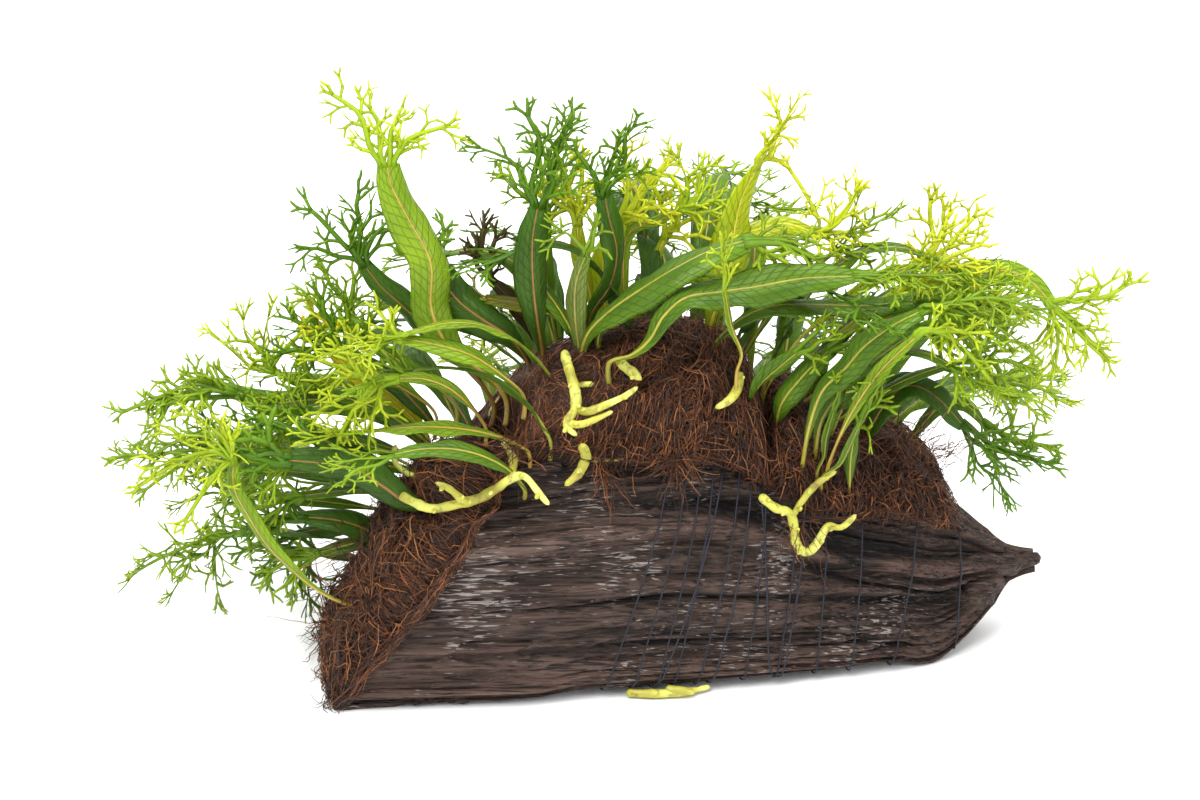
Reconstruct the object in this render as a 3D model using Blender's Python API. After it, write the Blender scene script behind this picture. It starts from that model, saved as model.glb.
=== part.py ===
"""Java fern growing on a piece of driftwood: the log, four mats of roots, the creeping rhizomes, the leaves
and the thread that ties them down.

Tables are in millimetres and the scene is in metres, +Z up. The origin is on the surface that the log rests on,
under the middle of the whole plant. The log lies along X, turned a little so that its left end is nearer the
front (-Y).
"""

import math

import bpy
import numpy as np
from mathutils.bvhtree import BVHTree

MM = 0.001

# ---------------------------------------------------------------- driving dimensions, millimetres
EYE = np.array([-12.0, -765.0, 420.0])  # where the plant's front view is drawn from
ORIGIN = np.array([-8.5, 21.5, 0.0])  # the middle of the plant, measured from the middle of the log
LOG_YAW = math.radians(8.0)
LOG_SIDES = 20  # points round each ring of the log
MAT_GAP = 2.0  # clear space between a root mat and the log, which the thread runs through
THREAD_RADIUS = 0.25
THREAD_LIFT = 0.9  # from the log's skin to the middle of the thread
BESIDE_DEPTH = -8.0  # where a rhizome's place is looked for when the eye sees nothing behind it
RHIZOME_GAP_ON_ROOTS = 0.35
RHIZOME_GAP_ON_WOOD = 1.5  # the thread passes under it
LEAF_THICK = 0.8
LEAF_CLEARANCE = 0.9  # from a leaf's middle plane to a mat, a rhizome or the log
LEAF_SPACING = 1.8  # between the sample points of two leaves
STALK_WIDE = 1.7
ARM_TIP_WIDE = 0.8

# Each station of the log: place along it, how far it leans along per mm of height, front, back, base, top.
LOG_STATIONS = np.array(
    [
        (-90, 0.82, -23, 26, 0, 62),
        (-60, 0.60, -25, 29, 0, 66),
        (-34, 0.43, -26, 31, 0, 69),
        (-22, 0.35, -26, 31, 1.7, 69),
        (0, 0.22, -26, 32, 1.7, 70),
        (30, 0.08, -25, 31, 1.7, 64),
        (55, 0.00, -24, 28, 1.7, 54),
        (72, 0.00, -22, 24, 1.7, 48),
        (77, 0.00, -21, 22, 0, 46),
        (83, 0.00, -19, 20, 0, 43),
        (93, 0.00, -14, 16, 5, 38),
        (103, 0.00, -8, 9, 12, 30),
        (108, 0.00, -4, 4, 17, 26),
        (116, 0.00, -2.5, 2, 19, 24),
    ],
    float,
)

# The log's section, from its front lower edge up over the ridge and down the back: across and up, as shares.
LOG_SECTION = np.array(
    [
        (-0.93, 0.00),
        (-1.00, 0.10),
        (-0.98, 0.36),
        (-0.84, 0.64),
        (-0.56, 0.87),
        (-0.18, 0.98),
        (0.25, 1.00),
        (0.62, 0.88),
        (0.88, 0.62),
        (1.00, 0.32),
        (0.92, 0.00),
        (0.00, 0.00),
    ]
)


# ---------------------------------------------------------------- curves
def pin(points):
    """Points (x, height, depth) drawn on an upright board at y = 0, each moved to its depth along the eye's line."""
    points = np.asarray(points, float)
    on_board = points * (1, 0, 0) + points[..., 1:2] * (0, 0, 1)
    reach = (points[..., 2:3] - EYE[1]) / -EYE[1]
    return EYE + (on_board - EYE) * reach


def smooth_rows(rows, where, closed=False):
    """Catmull-Rom curve through rows, read at the positions in where, counted in rows."""
    rows = np.asarray(rows, float)
    count = len(rows)
    where = np.asarray(where, float)
    first = np.floor(where).astype(int)
    if not closed:
        first = np.clip(first, 0, count - 2)
    t = (where - first)[:, None]
    if closed:
        a, b, c, d = (rows[(first + k) % count] for k in (-1, 0, 1, 2))
    else:
        a, b, c, d = (rows[np.clip(first + k, 0, count - 1)] for k in (-1, 0, 1, 2))
    return 0.5 * (2 * b + (c - a) * t + (2 * a - 5 * b + 4 * c - d) * t**2 + (3 * b - a - 3 * c + d) * t**3)


def smooth_path(points, shares):
    """Places on the smooth curve through points, at shares of its length, and where they are, counted in points."""
    rows = np.linspace(0, len(points) - 1, 16 * len(points))
    fine = smooth_rows(points, rows)
    run = np.concatenate([[0], np.cumsum(np.linalg.norm(np.diff(fine, axis=0), axis=1))])
    where = np.interp(np.asarray(shares) * run[-1], run, rows)
    return smooth_rows(points, where), where


def unit(vectors):
    return vectors / np.maximum(np.linalg.norm(vectors, axis=-1, keepdims=True), 1e-9)


# ---------------------------------------------------------------- making objects
def material(name, colour, roughness):
    made = bpy.data.materials.new(name)
    made.use_nodes = True
    shader = made.node_tree.nodes["Principled BSDF"]
    shader.inputs["Base Color"].default_value = (*colour, 1.0)
    shader.inputs["Roughness"].default_value = roughness
    made.diffuse_color = (*colour, 1.0)
    return made


def mesh_object(name, points, faces, finish):
    """A named object from points in millimetres, measured from the middle of the log."""
    mesh = bpy.data.meshes.new(name)
    placed = (np.asarray(points).reshape(-1, 3) - ORIGIN) * MM
    mesh.from_pydata(placed.tolist(), [], [list(face) for face in faces])
    made = bpy.data.objects.new(name, mesh)
    bpy.context.scene.collection.objects.link(made)
    mesh.materials.append(finish)
    return made


def grid_faces(rows, columns, start=0, closed=False, flip=False):
    """Quads of a grid of points. closed joins the last column to the first."""
    faces = []
    for i in range(rows - 1):
        for j in range(columns if closed else columns - 1):
            k = (j + 1) % columns
            quad = [start + i * columns + j, start + i * columns + k]
            quad += [start + (i + 1) * columns + k, start + (i + 1) * columns + j]
            faces.append(quad[::-1] if flip else quad)
    return faces


# ---------------------------------------------------------------- the log
def log_points(along, around, lift=0.0):
    """Points of the log's skin: along is the station in mm, around the place in LOG_SECTION, from 0 to 12.
    lift moves them out from the skin within their own leaning section."""
    along, around, lift = np.broadcast_arrays(along, around, lift)
    shape = along.shape
    along, around, lift = along.ravel(), around.ravel(), lift.ravel()
    stations = LOG_STATIONS[:, 0]
    row = np.interp(along, stations, np.arange(len(stations)))
    lean, front, back, base, top = smooth_rows(LOG_STATIONS[:, 1:], row).T
    base = np.maximum(base, 0)

    def section(at):
        share = smooth_rows(LOG_SECTION, at, closed=True)
        across = (front + back) / 2 + (back - front) / 2 * share[:, 0]
        return np.stack([across, base + (top - base) * np.maximum(share[:, 1], 0)], axis=1)

    turning = unit(section(around + 0.05) - section(around - 0.05))
    across, height = (section(around) + np.stack([-turning[:, 1], turning[:, 0]], axis=1) * lift[:, None]).T
    s = along + lean * (height - base)
    x = s * math.cos(LOG_YAW) - across * math.sin(LOG_YAW)
    y = s * math.sin(LOG_YAW) + across * math.cos(LOG_YAW)
    return np.stack([x, y, height], axis=1).reshape(*shape, 3)


def driftwood():
    """Points and faces of the log."""
    stations = LOG_STATIONS[:, 0]
    along = np.interp(np.arange(0, len(stations) - 0.5, 0.5), np.arange(len(stations)), stations)
    around = np.arange(LOG_SIDES) * len(LOG_SECTION) / LOG_SIDES
    points = log_points(along[:, None], around[None, :])
    rings = len(along)
    faces = grid_faces(rings, LOG_SIDES, closed=True, flip=True)
    faces.append(list(range(LOG_SIDES)))
    faces.append(list(range((rings - 1) * LOG_SIDES, rings * LOG_SIDES))[::-1])
    return points.reshape(-1, 3), faces


# ---------------------------------------------------------------- the root mats
# Each mat over the log: first and last station, where it starts on the front and ends on the back (places in
# LOG_SECTION), and its thickness at the front edge, over the ridge at its left and right, and at the back edge.
MATS = {
    "roots_middle": ((-87, 28), (3.3, 8.8), (7, 31, 20, 8)),
    "roots_right": ((32, 88), (3.7, 8.8), (7, 15, 12, 7)),
}
END_MAT_THICK = (3, 23)  # at the bottom and at the top of the sawn end
MAT_UPRIGHT = 1.3  # how much less a mat leans than the log under it: 1 is upright


def mat_over_log(name):
    """Points and faces of a mat: an outer skin and an inner one, joined round the rim."""
    (first, last), (front, back), (front_thick, left_thick, right_thick, back_thick) = MATS[name]
    rows, columns = int((last - first) / 12) + 2, 11
    u, v = np.linspace(0, 1, rows)[:, None], np.linspace(0, 1, columns)[None, :]
    along = first + (last - first) * u
    around = front + (back - front) * v
    hill = np.sqrt(np.clip(1 - np.abs(2 * u - 1) ** 5, 0, 1)) * np.sqrt(np.clip(1 - np.abs(2 * v - 1) ** 6, 0, 1))
    ridge = left_thick + (right_thick - left_thick) * u
    edge = np.where(v < 0.45, front_thick, back_thick)
    body = edge + (ridge - edge) * np.interp(v, (0, 0.45, 1), (0, 1, 0))
    lean = np.interp(along, LOG_STATIONS[:, 0], LOG_STATIONS[:, 1])
    outer = log_points(along - MAT_UPRIGHT * lean * body * hill, around, MAT_GAP + 2.5 + body * hill)
    inner = log_points(along, around, MAT_GAP)
    count = rows * columns
    faces = grid_faces(rows, columns, flip=True) + grid_faces(rows, columns, start=count)
    index = np.arange(count).reshape(rows, columns)
    rim = [*index[0, :-1], *index[:-1, -1], *index[-1, :0:-1], *index[:0:-1, 0]]
    for k, here in enumerate(rim):
        there = rim[(k + 1) % len(rim)]
        faces.append([here, there, there + count, here + count])
    return np.concatenate([outer.reshape(-1, 3), inner.reshape(-1, 3)]), faces


def mat_on_end():
    """Points and faces of the mat on the sawn end: a dome from the end's own outline, thicker towards the top."""
    sides = 18
    around = np.arange(sides) * len(LOG_SECTION) / sides
    rim = log_points(LOG_STATIONS[0, 0], around)
    middle = rim.mean(axis=0)
    outward = unit(np.cross(rim[5] - rim[0], rim[11] - rim[0]))
    outward = outward * -np.sign(outward[0])
    share = np.clip(rim[:, 2] / LOG_STATIONS[0, 5], 0, 1)
    rings = []
    for turn in np.linspace(0, 1, 6)[:-1]:
        angle = turn * math.pi / 2
        reach = math.cos(angle) ** 0.7 * (0.97 + 0.10 * math.sin(2 * angle))
        height = np.interp(share * reach + 0.5 * (1 - reach), (0, 1), END_MAT_THICK) * math.sin(angle) ** 0.8
        ring = middle + (rim - middle) * reach + outward * (height[:, None] + 0.6)
        rings.append(ring)
    top = middle + outward * (np.mean(END_MAT_THICK) + 0.6)
    points = np.concatenate([*rings, [top, middle + outward * 0.6]])
    faces = grid_faces(len(rings), sides, closed=True)
    last = (len(rings) - 1) * sides
    for j in range(sides):
        k = (j + 1) % sides
        faces.append([last + j, last + k, len(points) - 2])
        faces.append([k, j, len(points) - 1])
    return points, faces


# ---------------------------------------------------------------- rhizomes
# Each rhizome: its radius, then its branches, each a line of places (x, height) on the board. It lies on
# whatever the eye sees there. A second branch starts inside the first.
RHIZOMES = {
    "rhizome_left": (
        1.9,
        ((-68, 50), (-60, 46), (-53, 47), (-46, 49), (-41, 52), (-37, 55), (-33, 56), (-29, 51), (-26, 47)),
        ((-37, 55), (-36, 59), (-36, 62), (-39, 66.5)),
        ((-50, 48), (-54, 52), (-58, 54)),
    ),
    "rhizome_left_upper": (1.7, ((-35.5, 82), (-40, 78), (-42, 73), (-41, 68.5))),
    "rhizome_middle": (
        1.9,
        ((-21.5, 94), (-20, 88), (-18.5, 82), (-18.5, 77), (-21, 72), (-18, 68.5)),
        ((-19, 77), (-15, 76), (-10, 78), (-5, 80.5), (-1, 83.5)),
        ((-21, 72.5), (-17, 72), (-12, 74), (-8, 76)),
    ),
    "rhizome_middle_lower": (1.8, ((-17, 66), (-15.5, 62), (-17.5, 57), (-21.5, 53))),
    "rhizome_top": (2.0, ((-7, 91.5), (-4, 89), (0, 85.5))),
    "rhizome_upper_right": (1.8, ((27, 88), (27, 84), (24.5, 79.5), (20.5, 77))),
    "rhizome_right": (
        1.8,
        ((33.5, 50), (38, 46), (42, 44.5), (43.5, 40), (44, 35.5), (47, 32), (50, 34.5), (53, 40), (57, 40), (61, 44)),
        ((43, 43.5), (46, 49), (50, 54), (55, 57.5)),
    ),
}
UNDER_RHIZOME = ((-6, -27.0, 1.3), (1, -27.6, 1.4), (8, -27.6, 1.3), (13, -27.0, 1.3))  # on the ground, by the log


WAY_OUT = np.array([0.36, 0.27, 0.893])  # a line that runs along none of the faces
FAR_INSIDE = 9.0  # how deep in a solid a leaf may start


def tube(path, radius, sides=6):
    """Points and faces of a closed tube along path, whose radius may differ from point to point."""
    forward = unit(np.gradient(path, axis=0))
    side = unit(np.cross(forward[0], (0.3, 0.5, 1.0)))
    angles = np.arange(sides) * 2 * math.pi / sides
    points = []
    for centre, ahead, r in zip(path, forward, np.broadcast_to(radius, len(path))):
        side = unit(side - ahead * (side @ ahead))
        up = np.cross(ahead, side)
        points.append(centre + r * (np.cos(angles)[:, None] * side + np.sin(angles)[:, None] * up))
    faces = grid_faces(len(path), sides, closed=True)
    faces.append(list(range(sides))[::-1])
    faces.append(list(range((len(path) - 1) * sides, len(path) * sides)))
    return np.concatenate(points), faces


def lay(places, radius, solids, wood):
    """A path along board places, carried along the eye's lines onto the nearest solid and held just off it."""
    places = np.array([(x, h, 0.0) for x, h in places], float)
    run = np.linalg.norm(np.diff(places, axis=0), axis=1).sum()
    path, _ = smooth_path(places, np.linspace(0, 1, max(3, int(run / 4.0) + 1)))
    laid = []
    for place in path:
        aim = pin(place)
        hits = [tree.ray_cast(EYE, unit(aim - EYE)) for tree in solids]
        hits = [(hit[3], np.array(hit[0]), np.array(hit[1]), tree is wood) for hit, tree in zip(hits, solids) if hit[0]]
        if not hits:
            aside = pin(place + (0, 0, BESIDE_DEPTH))
            hits = [(*tree.find_nearest(aside), tree is wood) for tree in solids]
            hits = [(hit[3], np.array(hit[0]), np.array(hit[1]), hit[4]) for hit in hits]
        _, point, normal, on_wood = min(hits, key=lambda hit: hit[0])
        gap = RHIZOME_GAP_ON_WOOD if on_wood else RHIZOME_GAP_ON_ROOTS
        laid.append(point + normal * (radius + gap))
    laid = np.array(laid)
    for _ in range(14):
        laid[1:-1] = 0.6 * laid[1:-1] + 0.2 * (laid[:-2] + laid[2:])
        for tree in solids:
            clearance = radius * 1.15 + (RHIZOME_GAP_ON_WOOD if tree is wood else RHIZOME_GAP_ON_ROOTS)
            for k in range(len(laid) - 1):
                out = pushed_out((laid[k] + laid[k + 1]) / 2, tree, clearance)
                laid[k : k + 2] += out
            for k, point in enumerate(laid):
                laid[k] = point + pushed_out(point, tree, clearance)
    return laid


def is_inside(point, tree):
    """Whether the first face met on the way out, along any one line, is seen from behind."""
    _, normal, _, _ = tree.ray_cast(point, WAY_OUT)
    return normal is not None and np.array(normal) @ WAY_OUT > 0


def pushed_out(point, tree, clearance):
    """How far to move a point so that it is outside a solid and clear of it."""
    near, normal, _, distance = tree.find_nearest(point, FAR_INSIDE)
    if near is None:
        return np.zeros(3)
    inside = is_inside(point, tree)
    if distance > clearance and not inside:
        return np.zeros(3)
    away = (point - np.array(near)) * (-1 if inside else 1)
    way = away / distance if distance > 1e-3 else np.array(normal)
    return np.array(near) + way * clearance - point


def make_rhizomes(finish, solids, wood):
    """The rhizome objects. Returns the points and faces of all of them."""
    made = []
    for name, (radius, *branches) in RHIZOMES.items():
        first = None
        for k, places in enumerate(branches):
            path = lay(places, radius, solids, wood)
            if k:
                path[0] = stem[np.argmin(np.linalg.norm(stem - path[0], axis=1))]
            else:
                stem = path
            knobs = radius * (1 + 0.13 * np.sin(2.3 * np.arange(len(path)) + len(name)))
            knobs[-1] *= 0.7
            shape = tube(path, knobs * (0.8 if k else 1))
            made.append(shape)
            if first is None:
                first = mesh_object(name, *shape, finish)
                continue
            branch = mesh_object(f"{name}_branch_{k}", *shape, finish)
            branch.hide_render = True
            branch.display_type = "WIRE"
            join = first.modifiers.new("join_" + branch.name, "BOOLEAN")
            join.operation = "UNION"
            join.object = branch
    path, _ = smooth_path(np.array(UNDER_RHIZOME), np.linspace(0, 1, 5))
    along, across = path[:, 0], path[:, 1]
    cos, sin = math.cos(LOG_YAW), math.sin(LOG_YAW)
    path = np.stack([along * cos - across * sin, along * sin + across * cos, path[:, 2]], axis=1)
    mesh_object("rhizome_under", *tube(path, (0.7, 1.1, 1.1, 1.0, 0.6)), finish)
    return made


def solid_of(shapes):
    """A tree of the faces of several shapes, for finding what is near."""
    points, faces, start = [], [], 0
    for spots, polygons in shapes:
        points += [tuple(spot) for spot in spots]
        faces += [[corner + start for corner in polygon] for polygon in polygons]
        start = len(points)
    return BVHTree.FromPolygons(points, faces)


# ---------------------------------------------------------------- thread
# Stations where the thread passes, in turn, under the log and over its ridge.
THREAD_PASSES = (-15, -11, -7, -3, 0, 3, 5, 8, 11, 20, 25, 30, 34, 42, 46, 51, 56, 63, 68, 80, 89, 92)
UNDER, RIDGE, BACK_EDGE, TURN = -1, 6, 9.55, 12
EDGE_LIFT = 0.8


def thread_path():
    stations, places = [], []
    for k, (here, there) in enumerate(zip(THREAD_PASSES[:-1], THREAD_PASSES[1:])):
        start = UNDER if k % 2 == 0 else RIDGE
        end = RIDGE if k % 2 == 0 else UNDER + TURN
        steps = np.arange(0, 1, 0.5 / (end - start))
        stations.extend(here + (there - here) * (3 * steps**2 - 2 * steps**3))
        places.extend(start + (end - start) * steps)
    places = np.array(places)
    over_edge = np.exp(-(((places - BACK_EDGE) / 0.4) ** 2))
    return log_points(np.array(stations), places, THREAD_LIFT + EDGE_LIFT * over_edge)


# ---------------------------------------------------------------- leaves
FACING = {
    "front": (0, -1, 0.35),
    "up": (0, -0.5, 1),
    "left": (-0.8, -1, 0.3),
    "right": (0.8, -1, 0.3),
    "back": (0, 1, 0.6),
}

# name: width of the blade, share of the length that is stalk, the way its face looks, the places that its
# midrib passes (x, height, depth on the board), and the tips of the main forks of its crest.
LEAVES = {
    "leaf_tall_left": (
        12, 0.25, "front",
        ((-38, 80, 6), (-44, 88, 3), (-53, 95, 1), (-58, 107, 0), (-58, 121, 0), (-64, 134, 1),
         (-68, 143, 1), (-69, 149, 1)),
        ((-83, 169, 0), (-73, 165, 4), (-66, 162, 2), (-53, 160, 0)),
    ),
    "leaf_low_bright": (
        7.5, 0.30, "up",
        ((-33, 81, -6), (-39, 87, -9), (-47, 93, -11), (-56, 96, -12), (-66, 98, -12)),
        ((-74, 99, -12), (-73, 95.5, -12)),
    ),
    "leaf_left_crested": (
        9, 0.35, "front",
        ((-42, 80, 12), (-53, 95, 9), (-60, 102, 9), (-66, 108, 8), (-72, 114, 8), (-76, 120, 8)),
        ((-90, 136, 8), (-91, 125, 6), (-77, 141, 12), (-68, 134, 10)),
    ),
    "leaf_left_wing": (
        11, 0.30, "front",
        ((-31, 90, 14), (-37, 99, 9), (-44, 104, 7), (-51, 110, 6), (-56, 118, 6), (-57, 123, 6)),
        ((-54, 130, 6), (-60, 130, 9)),
    ),
    "leaf_low_olive": (
        7, 0.25, "up",
        ((-16, 92, 14), (-24, 106, 10), (-34, 109, 9), (-43, 111, 9)),
        ((-50, 113, 9), (-48, 110, 10)),
    ),
    "leaf_dark_centre_left": (
        10, 0.30, "front",
        ((-27, 90, 10), (-29, 104, 5), (-30, 116, 4), (-30, 127, 4), (-28.5, 137, 4)),
        ((-44, 154, 2), (-31, 163, 5), (-19, 164, 8), (-17, 158, 3)),
    ),
    "leaf_light_crest_centre": (
        5, 0.55, "front",
        ((-13, 90, 16), (-14, 110, 13), (-17, 122, 12), (-18, 132, 12)),
        ((-22.5, 149, 12), (-16.5, 149, 14), (-19, 143, 10), (-25.5, 140, 12)),
    ),
    "leaf_grey_back": (
        6.7, 0.25, "left",
        ((-17, 91, 5), (-18.5, 105, 2), (-18, 115, 1), (-15.5, 123, 0)),
        ((-13, 131, 0), (-22, 130, 1)),
    ),
    "leaf_dark_centre": (
        9.5, 0.25, "right",
        ((-16, 92, 9), (-14, 105, 7), (-9, 114, 6), (-7, 124, 6), (-9, 134, 6), (-10, 140, 6)),
        ((-18, 153, 5), (-10, 158, 8), (-2.5, 160, 6), (-1, 147, 4)),
    ),
    "leaf_olive_back": (
        7, 0.4, "front",
        ((-8, 90, 20), (-11, 116, 17), (-9, 126, 16), (-5, 133, 16)),
        ((-5, 151, 16), (6, 149.5, 18), (8, 144, 14), (5, 137, 16)),
    ),
    "leaf_strap_right": (
        3.8, 0.4, "left",
        ((-3, 90, 22), (-5, 115, 18), (-4, 129, 18), (4, 133, 18), (10, 136, 18)),
        ((9.5, 151, 18), (16, 147, 20), (19.5, 139, 16), (15, 141, 18)),
    ),
    "leaf_great_arch": (
        13, 0.28, "up",
        ((-17, 90, 4), (-15, 99, 0), (-9, 106, -3), (0, 113, -5), (9, 119, -6), (18, 124, -6),
         (28, 127, -5)),
        ((45, 124, -3), (52, 119, -2), (42, 119, -6)),
    ),
    "leaf_under_arch": (
        7.5, 0.4, "up",
        ((-11, 90, 2), (-12, 99, 2), (-6, 106, 2), (3, 112, 1), (12, 116, 1)),
        ((20, 120, 2), (22, 117, 0)),
    ),
    "leaf_bright_upright": (
        11, 0.30, "right",
        ((17, 92, 14), (20, 107, 12), (23, 120, 12), (24, 131, 12), (27, 140, 12), (31, 148, 12)),
        ((36, 158, 12), (41, 167, 12), (38.5, 162, 14)),
    ),
    "leaf_lime_arch": (
        8, 0.35, "up",
        ((20, 92, 18), (21, 113, 16), (25, 127, 14), (32, 132, 13), (39, 132.5, 13), (46, 130, 13)),
        ((39.5, 148, 16), (51.5, 148, 14), (58, 141, 12), (57, 130, 12)),
    ),
    "leaf_long_front": (
        11, 0.25, "up",
        ((-9, 91, -11), (-3, 93.5, -14), (2, 98, -15), (6, 105, -14), (12, 110.5, -13), (21, 112.5, -12),
         (31, 113.5, -11), (44, 116, -10), (58, 116.5, -9)),
        ((72, 120, -8), (82, 117, -8), (80, 111, -10), (70, 110, -9)),
    ),
    "leaf_second_long": (
        10, 0.30, "up",
        ((15, 89, 4), (25, 102, 1), (36, 108, 0), (50, 108.5, 0), (63, 108.5, 0), (75, 109.5, 0)),
        ((105, 106, 0), (102, 98, -2), (92, 96, 2), (95, 109, 0)),
    ),
    "leaf_upright_thin": (
        3.5, 0.5, "right",
        ((26.5, 88, -14), (27.5, 94, -16), (24.5, 102, -17), (22.5, 113, -18)),
        ((22, 124, -18), (24, 121, -18)),
    ),
    "leaf_mid_a": (
        7.5, 0.30, "right",
        ((30, 78, 2), (33, 84, -4), (38, 89, -6), (43, 94, -6)),
        ((49, 101, -6), (51, 98, -7)),
    ),
    "leaf_mid_b": (
        7.5, 0.35, "left",
        ((38, 68, 4), (39, 78, -2), (45, 87, -4), (52, 95, -4)),
        ((59, 101, -4), (61, 97, -5)),
    ),
    "leaf_front_a": (
        9, 0.40, "up",
        ((45.5, 60, -10), (47, 71, -15), (50, 82, -16), (56, 89, -17), (62, 96, -17), (70, 102.5, -17),
         (77, 106.5, -17)),
        ((110, 107, -17), (106, 96, -18), (96, 89, -17), (87, 108, -16)),
    ),
    "leaf_front_b": (
        10, 0.35, "right",
        ((49, 62, -6), (50.5, 73, -10), (55, 81, -11), (61.5, 88.5, -12), (70, 96, -12), (77.5, 101, -12)),
        ((100, 98, -12), (97, 88, -13), (88, 81, -12), (90, 102, -10)),
    ),
    "leaf_front_d": (
        4, 0.35, "right",
        ((51.5, 56, -14), (56, 60, -17), (59, 66, -18), (62, 74, -18)),
        ((69, 90, -18), (66, 84, -20)),
    ),
    "leaf_droop_right": (
        10, 0.35, "up",
        ((60, 58, 8), (64, 70, 5), (68.5, 79, 4), (73, 83.5, 4), (78, 83.5, 4), (84, 79, 3), (90, 72, 3)),
        ((115, 60, 4), (111, 66, 3), (107.5, 52, 4), (103, 50.5, 2)),
    ),
    "leaf_droop_right_back": (
        4.5, 0.4, "up",
        ((72, 60, 16), (82, 76, 14), (90, 78.5, 12), (96, 73, 11)),
        ((114, 65.5, 11), (106, 66, 12)),
    ),
    "leaf_far_arch": (
        9, 0.4, "up",
        ((44, 66, 12), (52, 84, 11), (63, 100, 10), (76, 110, 9), (88, 116, 9), (99, 118.5, 9),
         (107, 116, 9), (112, 110, 9)),
        ((132.5, 114, 9), (134, 100, 8), (129, 92, 10), (114, 85, 8), (122, 111, 10)),
    ),
    "leaf_fine_spray_right": (
        4, 0.4, "front",
        ((53, 60, -14), (58, 74, -20), (66, 88, -22), (76, 99, -22)),
        ((98, 84, -22), (90, 100, -22)),
    ),
    "leaf_left_shelf": (
        9, 0.25, "up",
        ((-62, 66, 10), (-75, 77, 9), (-89, 79.5, 9), (-103, 79, 9), (-113, 82, 9)),
        ((-136, 82, 9), (-145, 76, 10), (-133, 75, 8), (-140, 67, 9), (-124, 86, 10)),
    ),
    "leaf_left_pair_top": (
        9, 0.25, "up",
        ((-64, 47, -8), (-70, 53, -12), (-77, 59, -12), (-84, 64.5, -11), (-93, 69, -10)),
        ((-106, 73, -10), (-104, 68, -11)),
    ),
    "leaf_left_pair_low": (
        11, 0.20, "front",
        ((-61, 46, -16), (-67, 48, -18), (-73, 53, -17), (-80, 58, -16), (-88, 60, -16), (-99, 61, -16)),
        ((-114, 63, -16), (-112, 59, -17)),
    ),
    "leaf_left_loop": (
        6, 0.35, "left",
        ((-80, 14, -16), (-86, 15.5, -20), (-92, 19.5, -21), (-99, 26, -20), (-106, 34, -19),
         (-111.5, 43, -18), (-115, 52, -18), (-115, 60, -18)),
        ((-132, 69, -18), (-136, 59, -19), (-126, 75, -17), (-129, 43, -20), (-142, 53, -19)),
    ),
    "leaf_left_low_blade": (
        8, 0.2, "up",
        ((-72, 34, 0), (-78, 39, -3), (-86, 42, -4), (-95, 43, -4)),
        ((-112, 40, -4), (-109, 36, -5), (-106, 43, -3)),
    ),
    "leaf_weeping_crest": (
        4, 0.4, "front",
        ((-44, 72, -2), (-52, 82, -10), (-60, 86, -12), (-68, 86, -12)),
        ((-90, 76, -12), (-86, 64, -14), (-76, 60, -13), (-82, 71, -11)),
    ),
    "leaf_floor_crest": (
        6, 0.35, "up",
        ((-70, 30, 8), (-86, 36, 11), (-102, 39, 14), (-116, 38, 17)),
        ((-149, 32, 20), (-146, 24, 22), (-121, 17, 20), (-134, 20, 24), (-127, 27, 17)),
    ),
    "leaf_yellow_stub": (
        7, 0.25, "left",
        ((-60, 68, 14), (-68, 78, 14), (-78, 86, 14), (-86, 94, 14)),
        ((-91, 108, 14), (-93, 101, 15)),
    ),
    "leaf_left_crest_b": (
        5, 0.4, "front",
        ((-52, 78, 14), (-60, 86, 14), (-68, 92, 14), (-76, 98, 14)),
        ((-87, 118, 14), (-79, 116, 16), (-92, 111, 13), (-73, 108, 14)),
    ),
    "leaf_left_crest_c": (
        5, 0.4, "up",
        ((-62, 68, 18), (-76, 80, 18), (-89, 85, 18), (-101, 88, 18)),
        ((-117, 98, 18), (-110, 104, 20), (-103, 105, 17), (-94, 100, 18)),
    ),
    "leaf_left_crest_d": (
        5, 0.4, "up",
        ((-66, 60, 20), (-84, 66, 22), (-102, 68, 23), (-116, 66, 23)),
        ((-147, 62, 23), (-140, 52, 25), (-146, 69, 22), (-135, 60, 23)),
    ),
    "leaf_back_left": (
        9, 0.25, "back",
        ((-52, 74, 24), (-60, 92, 34), (-68, 100, 46), (-78, 98, 58)),
        ((-92, 92, 70), (-86, 84, 76), (-80, 96, 74)),
    ),
    "leaf_back_centre_left": (
        10, 0.25, "back",
        ((-28, 86, 24), (-32, 106, 34), (-36, 114, 48), (-40, 110, 62)),
        ((-44, 96, 78), (-52, 106, 74), (-36, 104, 78)),
    ),
    "leaf_back_centre": (
        9, 0.25, "back",
        ((-2, 86, 26), (0, 106, 34), (2, 116, 46), (2, 116, 60)),
        ((2, 104, 78), (10, 112, 74), (-6, 112, 76)),
    ),
    "leaf_back_right": (
        9, 0.25, "back",
        ((22, 82, 26), (30, 100, 34), (38, 110, 46), (46, 110, 58)),
        ((56, 98, 74), (62, 108, 70), (50, 106, 74)),
    ),
    "leaf_back_far_right": (
        8, 0.3, "back",
        ((60, 60, 22), (72, 76, 32), (84, 84, 44), (96, 84, 54)),
        ((110, 76, 66), (114, 86, 62), (104, 70, 66)),
    ),
    "leaf_back_low_left": (
        8, 0.3, "back",
        ((-70, 48, 22), (-84, 60, 34), (-96, 66, 46), (-106, 64, 56)),
        ((-122, 58, 66), (-118, 70, 62), (-112, 52, 66)),
    ),
}


def turned(ways, ahead, aside):
    """The angle of each way from ahead towards aside."""
    return np.arctan2(ways @ aside, ways @ ahead)


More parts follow.
